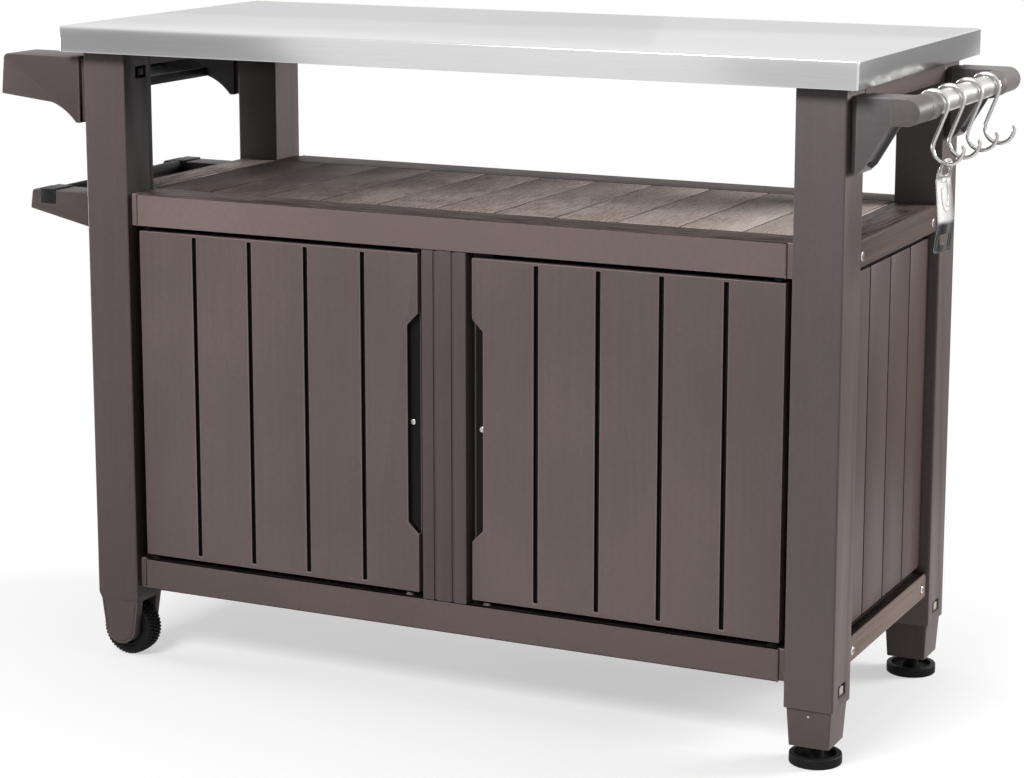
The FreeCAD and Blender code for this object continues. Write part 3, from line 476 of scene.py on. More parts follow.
class Finish:
    """Builds the node tree of a material or of the world."""

    def __init__(self, owner):
        owner.use_nodes = True
        self.owner = owner
        self.tree = owner.node_tree
        self.tree.nodes.clear()

    def node(self, kind, settings, inputs, output=0):
        """Adds one node: its settings first, then the values or links of its sockets."""
        made = self.tree.nodes.new("ShaderNode" + kind)
        for key, value in settings.items():
            setattr(made, key, value)
        for key, value in inputs.items():
            if isinstance(value, Value):
                self.tree.links.new(value.socket, made.inputs[key])
            else:
                made.inputs[key].default_value = value
        return Value(self, made.outputs[output]) if made.outputs else None

    def place(self):
        return self.node("TexCoord", {}, {}, "Object")

    def part(self, vector, axis):
        return self.node("SeparateXYZ", {}, {0: vector}, "XYZ".index(axis.upper()))

    def noise(self, detail, roughness, scale=1.0, stretch=(1, 1, 1), offset=None):
        """Noise over the piece, which a stretch squeezes along each axis and an offset shifts."""
        vector = self.node("VectorMath", {"operation": "MULTIPLY"}, {0: self.place(), 1: stretch})
        if offset is not None:
            vector = self.node("VectorMath", {"operation": "ADD"}, {0: vector, 1: offset})
        return self.node("TexNoise", {}, {"Vector": vector, "Scale": scale, "Detail": detail,
                                          "Roughness": roughness})

    def spread(self, value, low, high, to_low=0.0, to_high=1.0):
        """Maps a range onto another, smoothly and with its ends held."""
        return self.node("MapRange", {"interpolation_type": "SMOOTHSTEP"},
                         {"Value": value, "From Min": low, "From Max": high,
                          "To Min": to_low, "To Max": to_high})

    def blend(self, factor, first, second):
        """One colour into another."""
        first, second = ((*c, 1) if isinstance(c, tuple) and len(c) == 3 else c for c in (first, second))
        return self.node("Mix", {"data_type": "RGBA"}, {0: factor, 6: first, 7: second}, 2)

    def bump(self, height, strength, distance):
        return self.node("Bump", {}, {"Height": height, "Strength": strength, "Distance": distance}, "Normal")

    def surface(self, base, roughness, normal=None, **constants):
        """Ends a material with its one shader."""
        inputs = {"Base Color": base, "Roughness": roughness}
        inputs.update({key.replace("_", " "): value for key, value in constants.items()})
        if normal:
            inputs["Normal"] = normal
        shader = self.node("BsdfPrincipled", {}, inputs)
        self.node("OutputMaterial", {}, {"Surface": shader})
        return self.owner


def tone(base, factor):
    return tuple(min(1.0, c * factor) for c in base)


def stretch_along(run, lengthwise, crosswise):
    """Scales that draw a pattern out along one axis."""
    return tuple(lengthwise if axis == run else crosswise for axis in "xyz")


finishes = {}


def finish_named(name, make, *facts, **named_facts):
    """Makes a finish once and keeps it."""
    if name not in finishes:
        finishes[name] = make(Finish(bpy.data.materials.new(name)), *facts, **named_facts)
    return finishes[name]


def moulded(maker, base, run):
    """Satin moulded plastic with a faint grain along one axis."""
    cloud = maker.noise(scale=2.6, detail=3, roughness=0.5)
    streak = maker.noise(detail=4, roughness=0.6, stretch=stretch_along(run, 5, 160))
    mottle = maker.noise(scale=150, detail=3, roughness=0.6)
    skin = maker.noise(scale=900, detail=2, roughness=0.6)
    mixed = cloud * 0.6 + streak * 0.2 + mottle * 0.2
    shade = maker.blend(maker.spread(mixed, 0.32, 0.68), tone(base, 0.86), tone(base, 1.12))
    relief = maker.bump(streak * 0.3 + skin * 0.7, strength=0.35, distance=0.1 * MM)
    return maker.surface(shade, 0.36 + streak * 0.10 + skin * 0.06, relief, Specular_IOR_Level=0.22)


def grained(maker, base, dark, pale, stain, run, side, start, pitch, stained):
    """Wood grain on planks, each a little different, with pale patches of painted sheen, painted light from
    the middle on and painted shade at the first end.
    """
    place = maker.place()
    along_side = maker.part(place, side)
    plank = maker.node("Math", {"operation": "FLOOR"}, {0: (along_side - start) * (1 / pitch)})
    luck = maker.node("TexWhiteNoise", {"noise_dimensions": "1D"}, {"W": plank})
    own_part = maker.node("CombineXYZ", {}, {0: luck * 40, 1: luck * 23, 2: 0.0})
    fibre = maker.noise(detail=5, roughness=0.7, stretch=stretch_along(run, 26, 300), offset=own_part)
    sand = maker.noise(detail=3, roughness=0.7, stretch=stretch_along(run, 420, 620), offset=own_part)
    painted_sheen = maker.noise(detail=3, roughness=0.5, stretch=stretch_along(run, 6.5, 13), offset=own_part)
    grain = fibre * 0.5 + sand * 0.5
    shade = maker.blend(maker.spread(grain, 0.36, 0.60), dark, base)
    # Painted sheen: pale patches over the grain stand in for soft highlights.
    shade = maker.blend(maker.spread(painted_sheen, 0.43, 0.72, to_high=0.5), shade, pale)
    shade = maker.blend(maker.spread(grain, 0.38, 0.50, to_low=0.4, to_high=0), shade, dark)
    shade = maker.blend(luck * 0.2, shade, dark)
    drift = along_side + painted_sheen * 0.2 - 0.1
    clean = start + stained
    # Painted light: beyond the painted shade the planks grow lighter towards the far end, standing in for the
    # light that falls there.
    shade = maker.blend(maker.spread(drift, clean, clean + stained / 2, to_high=0.3), shade, pale)
    # Painted shade: the planks darken towards the first end, standing in for the shade that falls there.
    shade = maker.blend(maker.spread(drift, start, clean, to_low=0.85, to_high=0), shade, stain)
    relief = maker.bump(grain, strength=0.6, distance=0.35 * MM)
    return maker.surface(shade, 0.55 + grain * 0.22, relief, Specular_IOR_Level=0.05)


def rail_finish(maker, plain, base, dark, pale, run):
    """Smooth moulded faces with wood grain and pale patches of painted sheen on the upper face."""
    skin = maker.noise(scale=900, detail=2, roughness=0.6)
    cloud = maker.noise(scale=2.2, detail=3, roughness=0.5)
    mottle = maker.noise(scale=150, detail=3, roughness=0.6)
    fibre = maker.noise(detail=6, roughness=0.7, stretch=stretch_along(run, 14, 300))
    painted_sheen = maker.noise(detail=3, roughness=0.5, stretch=stretch_along(run, 5, 11))
    normal = maker.node("NewGeometry", {}, {}, "Normal")
    upper = maker.spread(maker.part(normal, "z"), 0.85, 0.97)
    mixed = cloud * 0.75 + mottle * 0.25
    smooth = maker.blend(maker.spread(mixed, 0.34, 0.66), tone(plain, 0.88), tone(plain, 1.1))
    grain = maker.blend(maker.spread(fibre, 0.44, 0.56), dark, base)
    # Painted sheen: pale patches on the upper face stand in for soft highlights.
    grain = maker.blend(maker.spread(painted_sheen, 0.52, 0.75, to_high=0.4), grain, pale)
    relief = maker.bump(fibre * upper * 0.9 + skin * 0.12, strength=0.45, distance=0.35 * MM)
    return maker.surface(maker.blend(upper, smooth, grain), 0.42 + fibre * 0.14 + skin * 0.04, relief,
                         Specular_IOR_Level=0.08)


def brushed(maker, base, run, roughness):
    """Brushed steel with fine lines along one axis and a faint uneven sheen."""
    fine = maker.noise(detail=3, roughness=0.7, stretch=stretch_along(run, 9, 2600))
    hair = maker.noise(detail=2, roughness=0.6, stretch=stretch_along(run, 4, 900))
    cloud = maker.noise(scale=2.4, detail=2, roughness=0.5)
    brushing = fine * 0.6 + hair * 0.4
    mixed = brushing * 0.6 + cloud * 0.4
    shade = maker.blend(maker.spread(mixed, 0.3, 0.7), tone(base, 0.92), tone(base, 1.05))
    relief = maker.bump(brushing, strength=0.15, distance=0.02 * MM)
    return maker.surface(shade, roughness - 0.04 + brushing * 0.06 + cloud * 0.05, relief, Metallic=1.0)


def bright_steel(maker, shade, speck, cloud, roughness):
    """The gloss and the fine relief of plated steel, in any colour."""
    relief = maker.bump(speck, strength=0.15, distance=0.02 * MM)
    return maker.surface(shade, roughness + cloud * 0.12, relief, Metallic=1.0)


def plated(maker, base):
    """Bright plated steel with fine speckle."""
    speck = maker.noise(scale=1400, detail=2, roughness=0.6)
    cloud = maker.noise(scale=60, detail=2, roughness=0.5)
    shade = maker.blend(maker.spread(speck, 0.3, 0.7), tone(base, 0.86), base)
    return bright_steel(maker, shade, speck, cloud, roughness=0.14)


def painted_dark_reflection(maker, base, dark, level):
    """Plated steel painted darker under a level, as a painted reflection, with a ragged line between."""
    ragged, under, over = 4 * MM, 2 * MM, 6 * MM
    speck = maker.noise(scale=1400, detail=2, roughness=0.6)
    cloud = maker.noise(scale=60, detail=2, roughness=0.5)
    height = maker.part(maker.place(), "z") + cloud * ragged
    shade = maker.blend(maker.spread(height, level - under, level + over), dark, base)
    return bright_steel(maker, shade, speck, cloud, roughness=0.16)


def dull_black(maker, base, roughness):
    """Black moulded plastic or rubber, with dust that greys it a little."""
    dust = maker.noise(scale=35, detail=4, roughness=0.6)
    skin = maker.noise(scale=1100, detail=2, roughness=0.6)
    shade = maker.blend(maker.spread(dust, 0.45, 0.8, to_high=0.35), base, tone(base, 2.2))
    relief = maker.bump(skin, strength=0.3, distance=0.1 * MM)
    return maker.surface(shade, roughness - 0.05 + dust * 0.12, relief, Specular_IOR_Level=0.15)


def plastic(family, run="z"):
    """The moulded plastic of one family of pieces, with its faint grain along an axis."""
    return finish_named(f"{family}_plastic_{run}", moulded, shade_of(family), run)


def edge_highlight_finish(family, run="z"):
    """A painted highlight: the lighter tone of moulded edges, standing in for the light they catch."""
    lighter = tone(shade_of(family), colours().edge_lift)
    return finish_named(f"{family}_edge_{run}", moulded, lighter, run)


def black_finish():
    return finish_named("black_plastic", dull_black, shade_of("black"), roughness=0.5)


# Painted shade for the insides of grooves and recesses and for pieces in dark gaps.
def recess_shade_finish():
    return finish_named("groove_shade", dull_black, shade_of("groove"), roughness=0.7)


def bright_finish():
    return finish_named("bright_steel", plated, shade_of("bright"))


def sizes():
    return bpy.context.scene.cart_sizes


def colours():
    return bpy.context.scene.cart_colours


def shade_of(name):
    """One of the colours that a user may change, as plain numbers."""
    return tuple(getattr(colours(), name))


# Worktop, deck and rails


class CART_OT_worktop(bpy.types.Operator):
    """Folds the steel sheet of the worktop over its board"""

    bl_idname = "cart.worktop"
    bl_label = "Worktop"

    def execute(self, context):
        s = sizes()
        hem_edge = 0.8 * MM
        low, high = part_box("steel_top")
        sheet = block("worktop_sheet", low, high)
        with shaping(sheet):
            pick("EDGE", lambda middle, run: abs(run.z) > along)
            bpy.ops.mesh.bevel(offset=s.sheet_corner, segments=5)
            pick("EDGE", lambda middle, run: middle.z > high.z - near)
            bpy.ops.mesh.bevel(offset=s.sheet_edge, segments=4)
            pick("EDGE", lambda middle, run: middle.z < low.z + near)
            bpy.ops.mesh.bevel(offset=hem_edge, segments=3)
            pick("FACE", lambda middle, normal: normal.z < -square)
            bpy.ops.mesh.inset(thickness=s.hem)
            bpy.ops.mesh.delete(type="FACE")
        with_modifier(sheet, "SOLIDIFY", thickness=s.sheet, offset=-1)
        steel = finish_named("worktop_steel", brushed, shade_of("steel"), "x", roughness=0.14)
        dress(sheet, steel, "steel_top")
        return {"FINISHED"}


class CART_OT_deck(bpy.types.Operator):
    """Lays the grained planks of the deck"""

    bl_idname = "cart.deck"
    bl_label = "Deck"

    def execute(self, context):
        s = sizes()
        deck_edge = 0.7 * MM
        low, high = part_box("deck_panel")
        deck = block("deck_planks", low, high)
        first, last = low.x + s.deck_end, high.x - s.deck_end
        pitch = (last - first) / s.deck_planks
        places = [first, *divided(first, last, s.deck_planks), last]
        wide, deep = s.deck_groove, s.deck_groove_depth
        cut_out(deck, grooves("deck", low, high, "z", "y", places, wide, deep))
        cut_out(deck, grooves("deck_end", low, high, "z", "x", (low.y, high.y), 2 * wide, deep))
        shades = [shade_of(name) for name in ("deck", "deck_dark", "deck_painted_sheen", "deck_painted_shade")]
        grain = finish_named("deck_grain", grained, *shades, run="y", side="x", start=first, pitch=pitch,
                             stained=s.stained_planks * pitch)
        round_board(deck, low, high, "z", grain, deck_edge)
        seat(deck, "deck_panel")
        return {"FINISHED"}


class CART_OT_rails(bpy.types.Operator):
    """Rounds the long and short rails, with grain on their upper faces"""

    bl_idname = "cart.rails"
    bl_label = "Rails"

    def execute(self, context):
        # Middle tone, grain and painted sheen of the upper faces. On the lower rails all three are near
        # black, as painted shade.
        grain_and_sheen = ("rail_top", "rail_dark", "rail_painted_sheen")
        pale = ("deck", "deck_dark", "rail_painted_sheen")
        dark = ("rail_dark", "groove", "rail_dark")
        for node, family, top in (
                ("front_rail_upper", "rail", grain_and_sheen), ("back_rail_upper", "rail", grain_and_sheen),
                ("side_rail_upper_right", "side_rail", grain_and_sheen), ("side_rail_upper_left", "side_rail", pale),
                ("front_rail_lower", "panel", dark), ("back_rail_lower", "panel", dark),
                ("side_rail_lower_right", "low_side_rail", dark),
                ("side_rail_lower_left", "low_side_rail", dark)):
            run = "y" if node.startswith("side") else "x"
            shades = [shade_of(name) for name in (family, *top)]
            finish = finish_named(f"{family}_with_{top[0]}", rail_finish, *shades, run)
            rail = shell(node)
            if run == "x":
                self.round_ends(rail, *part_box(node))
            seat(rounded(painted(rail, finish), sizes().rail_edge, edge=edge_highlight_finish(family, run)), node)
        return {"FINISHED"}

    @staticmethod
    def round_ends(rail, low, high):
        """Rounds the upright edges where a long rail steps back beside the legs."""
        outer = low.y if low.y < 0 else high.y
        with shaping(rail):
            pick("EDGE", lambda middle, run: abs(run.z) > along and abs(middle.y - outer) < near)
            bpy.ops.mesh.bevel(offset=sizes().rail_end_round, segments=5)


# Doors, walls and posts


class CART_OT_doors(bpy.types.Operator):
    """Makes the plank doors with their grips"""

    bl_idname = "cart.doors"
    bl_label = "Doors"

    def execute(self, context):
        s = sizes()
        seat(self.door("plank_door_right", s.outer_plank_right), "door_right")
        turned = self.door("door_to_turn", s.outer_plank_left)
        seat(copied(turned, "plank_door_left", across(middle_x)), "door_left")
        bpy.data.objects.remove(turned)
        return {"FINISHED"}

    def door(self, name, outer_plank):
        """A door in the right door's place, with its outer plank of this width."""
        s = sizes()
        low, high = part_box("door_right")
        door = block(name, low, high)
        places = [high.x - outer_plank - number * s.door_pitch for number in range(s.door_planks - 1)]
        cut_out(door, grooves("door", low, high, "-y", "z", places, s.door_groove, s.door_groove_depth,
                              (s.groove_bottom, s.groove_top)))
        cut_out(door, self.grip(low))
        for bore in self.bores(low, high):
            cut_out(door, bore)
        round_board(door, low, high, "-y", plastic("panel"), s.plank_edge, segments=3,
                    edge=edge_highlight_finish("panel"))
        return door

    @staticmethod
    def grip(low):
        """The cutter of a grip, drawn in towards its deep end so that its ends slant."""
        s = sizes()
        reach = s.grip_reach + past
        tall = s.grip_top - s.grip_bottom + 2 * past
        grip = block("grip_cutter", (low.x - past, low.y - past, s.grip_bottom - past),
                     (low.x + s.grip_reach, low.y + s.grip_depth, s.grip_top + past))
        with shaping(grip):
            pick("FACE", lambda middle, normal: normal.x > along)
            bpy.ops.transform.resize(value=(1, 1, 1 - 2 * reach / tall))
        return grip

    @staticmethod
    def bores(low, high):
        """Cutters for a door's two hinge bores and the bore of its catch screw."""
        pin_radius, pin_inset, pin_depth = 4.06 * MM, 10.5 * MM, 20 * MM
        catch_radius = 2 * MM
        x, y = high.x - pin_inset, (low.y + high.y) / 2
        catch_low, catch_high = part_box("door_strike_right")
        catch = (catch_low + catch_high) / 2
        return (rod("lower_bore", pin_radius, (x, y, low.z - past), (x, y, low.z + pin_depth), sides=32),
                rod("upper_bore", pin_radius, (x, y, high.z - pin_depth), (x, y, high.z + past), sides=32),
                rod("catch_bore", catch_radius, (catch.x, low.y - past, catch.z),
                    (catch.x, high.y + past, catch.z), sides=24))


class CART_OT_walls(bpy.types.Operator):
    """Makes the grooved side walls, the two halves of the back and the centre posts"""

    bl_idname = "cart.walls"
    bl_label = "Walls and posts"

    def execute(self, context):
        s = sizes()
        post_edge = 0.35 * MM
        self.pair("side_wall", "side_panel", "wall", s.side_planks, face="x", side="y", gap=s.wall_gap)
        self.pair("back_wall", "back_panel", "panel", s.back_planks, face="y", side="x")
        for node in ("centre_post_front", "centre_post_back"):
            seat(moulding(node, plastic("post"), post_edge, edge=edge_highlight_finish("post")), node)
        return {"FINISHED"}

    @staticmethod
    def pair(name, node, family, planks, face, side, gap=0):
        """A wall with upright grooves on the right, and its mirror image on the left."""
        s = sizes()
        low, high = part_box(node + "_right")
        wall = block(name + "_right", low, high)
        places = divided(getattr(low, side), getattr(high, side), planks)
        cut_out(wall, grooves(name, low, high, face, "z", places, s.wall_groove, s.wall_groove_depth))
        if gap:
            ends = (low.z, high.z)
            cut_out(wall, grooves(name + "_end", low, high, face, side, ends, 2 * gap, s.wall_groove_depth))
        round_board(wall, low, high, face, plastic(family), s.plank_edge, edge=edge_highlight_finish(family))
        twin = copied(wall, name + "_left", across(middle_x))
        seat(wall, node + "_right")
        seat(twin, node + "_left")


# Legs, feet and wheels


def with_window(leg, x, y, z, tab_finish):
    """Cuts a snap window into a leg's +X face at x, and gives it a floor of painted shade and its tab."""
    s = sizes()
    floor_sheet, tab_sunk, tab_edge = 0.2 * MM, 0.5 * MM, 0.8 * MM
    floor = x - s.window_depth
    half_y, half_z = s.window_width / 2, s.window_height / 2
    tab_y, tab_z = 0.5 * half_y, 0.6 * half_z
    cut_out(leg, block("window", (floor, y - half_y, z - half_z), (x + past, y + half_y, z + half_z)))
    # Painted shade: a thin near-black sheet on the window's floor.
    well = block("well", (floor - floor_sheet, y - half_y, z - half_z), (floor, y + half_y, z + half_z))
    tab = block("tab", (floor, y - tab_y, z - tab_z), (x - tab_sunk, y + tab_y, z + tab_z))
    return [painted(well, recess_shade_finish()), painted(rounded(tab, tab_edge), tab_finish)]


class CART_OT_legs(bpy.types.Operator):
    """Rounds the legs and cuts their snap windows"""

    bl_idname = "cart.legs"
    bl_label = "Legs"

    def execute(self, context):
        s = sizes()
        leg_edge = 0.8 * MM
        for side, inward in (("front", 1), ("back", -1)):
            for node in ("leg_right_" + side, "leg_left_" + side):
                low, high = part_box(node)
                leg = shell(node)
                middle_y = (low.y + high.y) / 2
                if "right" in node:
                    extras = with_window(leg, high.x, middle_y, s.low_window, plastic("tab"))
                else:
                    y = middle_y + inward * s.window_shift
                    extras = with_window(leg, high.x, y, s.high_window, black_finish())
                    self.taper(leg, low, high)
                rounded(painted(leg, plastic("leg")), leg_edge, edge=edge_highlight_finish("leg"))
                for way, name, base in self.painted_light_tones(node, side == "front"):
                    repaint(leg, way, finish_named(name, moulded, base, "z"))
                seat(joined(node + "_shell", [leg, *extras]), node)
        return {"FINISHED"}

    @staticmethod
    def painted_light_tones(node, in_front):
        """The faces of a leg that take painted light, shade and reflection by the way they look, as their
        ways, finish names and colours.
        """
        shaded, lifted = 0.35, 1.4
        to_right, to_front = (1, 0, 0), (0, -1, 0)
        if "left" in node:
            # Painted shade: the left front leg's inner face and the left back leg's front face are darkened,
            # as they lie in shade under the worktop.
            return [(to_right if in_front else to_front, "leg_inner", tone(shade_of("leg"), shaded))]
        # Painted reflection on the right front leg's front face, painted light lifting the right back leg's
        # front face, and a painted tone for light on the right legs' outer faces.
        face = shade_of("leg_face")
        front = ("leg_face", face) if in_front else ("leg_face_back", tone(face, lifted))
        return [(to_right, "leg_side", shade_of("leg_side")), (to_front, *front)]

    @staticmethod
    def taper(leg, low, high):
        """Draws a leg in at its foot to the width of the wheel fork."""
        s = sizes()
        narrow, shallow = (1 - 2 * s.leg_draw / size for size in (high.x - low.x, high.y - low.y))
        with shaping(leg):
            bpy.ops.mesh.select_all(action="SELECT")
            bpy.ops.mesh.bisect(plane_co=(0, 0, low.z + s.leg_taper), plane_no=(0, 0, 1))
            pick("EDGE", lambda middle, run: middle.z < low.z + near)
            bpy.ops.transform.resize(value=(narrow, shallow, 1), center_override=(low + high) / 2)


class CART_OT_leg_ends(bpy.types.Operator):
    """Rounds the foot caps with their dots and the wheel forks with their rims"""

    bl_idname = "cart.leg_ends"
    bl_label = "Foot caps and forks"

    def execute(self, context):
        for side, way in (("front", -1), ("back", 1)):
            leg_low, leg_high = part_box("leg_right_" + side)
            outer = leg_low.y if way < 0 else leg_high.y
            self.cap("foot_cap_" + side, way, (leg_low.x + leg_high.x) / 2, outer, leg_low.z)
            self.fork("wheel_fork_" + side, way, outer, leg_low.z)
        return {"FINISHED"}

    @staticmethod
    def cap(node, way, x, outer, top):
        """A foot cap with a raised dot on its outer face."""
        dot_drop, dot_radius, dot_edge = 9 * MM, 1.5 * MM, 0.4 * MM
        dot_sunk, dot_raised, cap_inset = 2 * MM, 0.4 * MM, 3.4 * MM
        z, face = top - dot_drop, outer - way * cap_inset
        dot = rod("dot", dot_radius, (x, face - way * dot_sunk, z), (x, face + way * dot_raised, z), sides=20)
        cap = moulding(node, plastic("leg"), sizes().soft_edge, edge=edge_highlight_finish("leg"))
        seat(joined(cap.name, [cap, painted(rounded(dot, dot_edge), bright_finish())]), node)

    @staticmethod
    def fork(node, way, outer, top):
        """A wheel fork with a fine groove along the rim of its outer face."""
        groove_inset, groove_side, groove_depth = 1.8 * MM, 0.8 * MM, 0.9 * MM
        fork_inset = 6 * MM
        fork = moulding(node, plastic("leg"), sizes().soft_edge, edge=edge_highlight_finish("leg"))
        with shaping(fork):
            pick("FACE", lambda middle, normal: normal.y * way > square and middle.z < top
                 and abs(middle.y - outer) < fork_inset)
            bpy.ops.mesh.inset(thickness=groove_inset)
            bpy.ops.mesh.inset(thickness=groove_side, depth=-groove_depth)
            bpy.ops.mesh.inset(thickness=groove_side, depth=groove_depth)
        seat(fork, node)


class CART_OT_feet(bpy.types.Operator):
    """Turns the levelling feet with their knurled rims"""

    bl_idname = "cart.feet"
    bl_label = "Levelling feet"

    def execute(self, context):
        s = sizes()
        disc_tall, rim_wide = 13 * MM, 5.2 * MM
        low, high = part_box("levelling_foot_front")
        centre = Vector(((low.x + high.x) / 2, (low.y + high.y) / 2))
        foot = rod("levelling_disc_front", s.foot_radius, (*centre, low.z), (*centre, low.z + disc_tall),
                   sides=2 * s.foot_ridges)
        with shaping(foot):
            self.turn_profile(centre, rim_wide, disc_tall, high.z - low.z)
            self.knurl(centre)
        # Painted shade: the faces inside the rim, the well, cone and stem, are painted near black.
        painted(foot, black_finish(), recess_shade_finish())
        for face in foot.data.polygons:
            face.material_index = int((face.center.xy - centre).length < s.foot_radius - rim_wide)
        other = copied(foot, "levelling_disc_back", front_to_back())
        seat(foot, "levelling_foot_front")
        seat(other, "levelling_foot_back")
        return {"FINISHED"}

    @staticmethod
    def turn_profile(centre, rim_wide, disc_tall, tall):
        """Rounds the disc's rim, sinks a well into its top and raises the cone and the stem from it."""
        radius = sizes().foot_radius
        rim_edge, well_deep, well_wide = 1.5 * MM, 5 * MM, 16 * MM
        cone_tall, cone_draw, shoulder = 18 * MM, 8.5 / 11, 2.6 * MM

        def rim(middle, run):
            return abs(run.z) < crossing and abs((middle.xy - centre).length - radius) < near

        pick("EDGE", rim)
        bpy.ops.mesh.bevel(offset=rim_edge, segments=4)
        pick("FACE", lambda middle, normal: normal.z > along and (middle.xy - centre).length < near)
        stem_tall = tall - (disc_tall - well_deep + cone_tall)
        for inset, rise, scale in ((rim_wide, -well_deep, 1), (well_wide, cone_tall, cone_draw),
                                   (shoulder, stem_tall, 1)):
            bpy.ops.mesh.inset(thickness=inset)
            bpy.ops.mesh.extrude_region_move(TRANSFORM_OT_translate={"value": (0, 0, rise)})
            bpy.ops.transform.resize(value=(scale, scale, 1))

    @staticmethod
    def knurl(centre):
        """Sinks every other face of the rim."""
        s = sizes()
        step = math.tau / (2 * s.foot_ridges)
        margin, deep, rim_deep = 0.12 * MM, 0.5 * MM, 1 * MM

        def sunk(middle, normal):
            spoke = middle.xy - centre
            upright = abs(normal.z) < crossing and spoke.length > s.foot_radius - rim_deep
            return upright and math.floor(math.atan2(spoke.y, spoke.x) / step) % 2 == 0

        pick("FACE", sunk)
        bpy.ops.mesh.inset(thickness=margin, depth=-deep, use_individual=True)


class CART_OT_wheels(bpy.types.Operator):
    """Makes the tyres with their tread blocks, and the hubs"""

    bl_idname = "cart.wheels"
    bl_label = "Wheels"

    def execute(self, context):
        hub_edge = 0.5 * MM
        low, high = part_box("tyre_front")
        centre = (low + high) / 2
        pitch = math.tau / sizes().tread_blocks
        ring = self.ring(low, high, centre)
        lug = self.lugs(low, high, centre, pitch)
        about = Matrix.Translation(centre)
        turns = [about @ Matrix.Rotation(number * pitch, 4, "Y") @ about.inverted()
                 for number in range(1, sizes().tread_blocks)]
        tyre = joined("tyre_tread_front", [ring, lug, *(copied(lug, "lug", turn) for turn in turns)])
        rubber = finish_named("tyre_rubber", dull_black, shade_of("rubber"), roughness=0.62)
        other = copied(tyre, "tyre_tread_back", front_to_back())
        dress(tyre, rubber, "tyre_front", angle=40)
        dress(other, rubber, "tyre_back", angle=40)
        for node in ("wheel_hub_front", "wheel_hub_back"):
            seat(moulding(node, black_finish(), hub_edge), node)
        return {"FINISHED"}

    @staticmethod
    def ring(low, high, centre):
        """The tyre without its tread: a section from the hub out, spun round the axle."""
        s = sizes()
        shoulder, half_block = 2.6 * MM, 1 * MM
        hub_low, hub_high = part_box("wheel_hub_front")
        inner, outer = (hub_high.x - hub_low.x) / 2, s.wheel_radius - s.tread
        ring = block("tyre_tread_front", (centre.x - half_block, low.y, centre.z + inner),
                     (centre.x + half_block, high.y, centre.z + outer))
        with shaping(ring):
            pick("FACE", lambda middle, normal: normal.x < along)
            bpy.ops.mesh.delete(type="FACE")
            pick("EDGE", lambda middle, run: True)
            bpy.ops.transform.translate(value=(-half_block, 0, 0))
            bpy.ops.mesh.spin(steps=112, angle=math.tau, center=centre, axis=(0, 1, 0))
            bpy.ops.mesh.select_all(action="SELECT")
            bpy.ops.mesh.remove_doubles(threshold=touching)
            bpy.ops.mesh.normals_make_consistent(inside=False)
            pick("EDGE", lambda middle, run: abs(run.y) < crossing
                 and (middle.xz - centre.xz).length > outer - near)
            bpy.ops.mesh.bevel(offset=shoulder, segments=4)
        return ring

    @staticmethod
    def lugs(low, high, centre, pitch):
        """One row of tread blocks across the tyre, each second one half a step on."""
        s = sizes()
        half_long, half_wide, margin = 0.3, 0.4, 0.7
        lug_sunk, outer_drop, lug_edge = 1 * MM, 0.7 * MM, 0.4 * MM
        row = (high.y - low.y) / (s.tread_rows + 2 * margin - 1)
        long = half_long * pitch * s.wheel_radius
        outer = s.wheel_radius - s.tread
        made = []
        for number in range(s.tread_rows):
            y = low.y + (number + margin) * row
            lug = block("lug", (centre.x - long, y - half_wide * row, centre.z + outer - lug_sunk),
                        (centre.x + long, y + half_wide * row, centre.z + s.wheel_radius))
            turned = Matrix.Translation(centre) @ Matrix.Rotation(pitch / 2 * (number % 2), 4, "Y")
            if number in (0, s.tread_rows - 1):
                turned = turned @ Matrix.Translation((0, 0, -outer_drop))
            lug.data.transform(turned @ Matrix.Translation(-centre))
            made.append(lug)
        return rounded(joined("lugs", made), lug_edge, segments=1)


# Tray, paper roll holder and towel bar


class CART_OT_left_end(bpy.types.Operator):
    """Rounds the tray with its arms and the paper roll holder"""

    bl_idname = "cart.left_end"
    bl_label = "Tray and paper roll holder"

    def execute(self, context):
        arm_edge, tray_edge, saddle_edge = 1.3 * MM, 0.8 * MM, 0.7 * MM
        half_turned, rim_highlight_lift = 0.7, 4
        tray = plastic("tray", "y")
        for side, inward in (("front", 1), ("back", -1)):
            for node in ("tray_arm_" + side, "roll_arm_" + side):
                arm = moulding(node, plastic("arm", "x"), arm_edge, segments=3, edge=edge_highlight_finish("arm", "x"))
                # Painted shade: the arm's face that looks towards the other arm takes the tray's near black.
                repaint(arm, (0, inward, 0), tray, half_turned)
                seat(arm, node)
        # Painted highlight on the rounded edges of the tray and of the saddles.
        painted_rim_highlight = finish_named("black_edge", dull_black, tone(shade_of("black"), rim_highlight_lift), roughness=0.4)
        for node, name, finish, width, edge in (
                ("condiment_tray", "tray_trough", tray, tray_edge, painted_rim_highlight),
                ("roll_bar", "paper_roll_bar", black_finish(), tray_edge, None),
                ("roll_bar_ends", "paper_roll_saddles", tray, saddle_edge, painted_rim_highlight)):
            seat(moulding(node, finish, width, edge=edge, name=name), node)
        return {"FINISHED"}


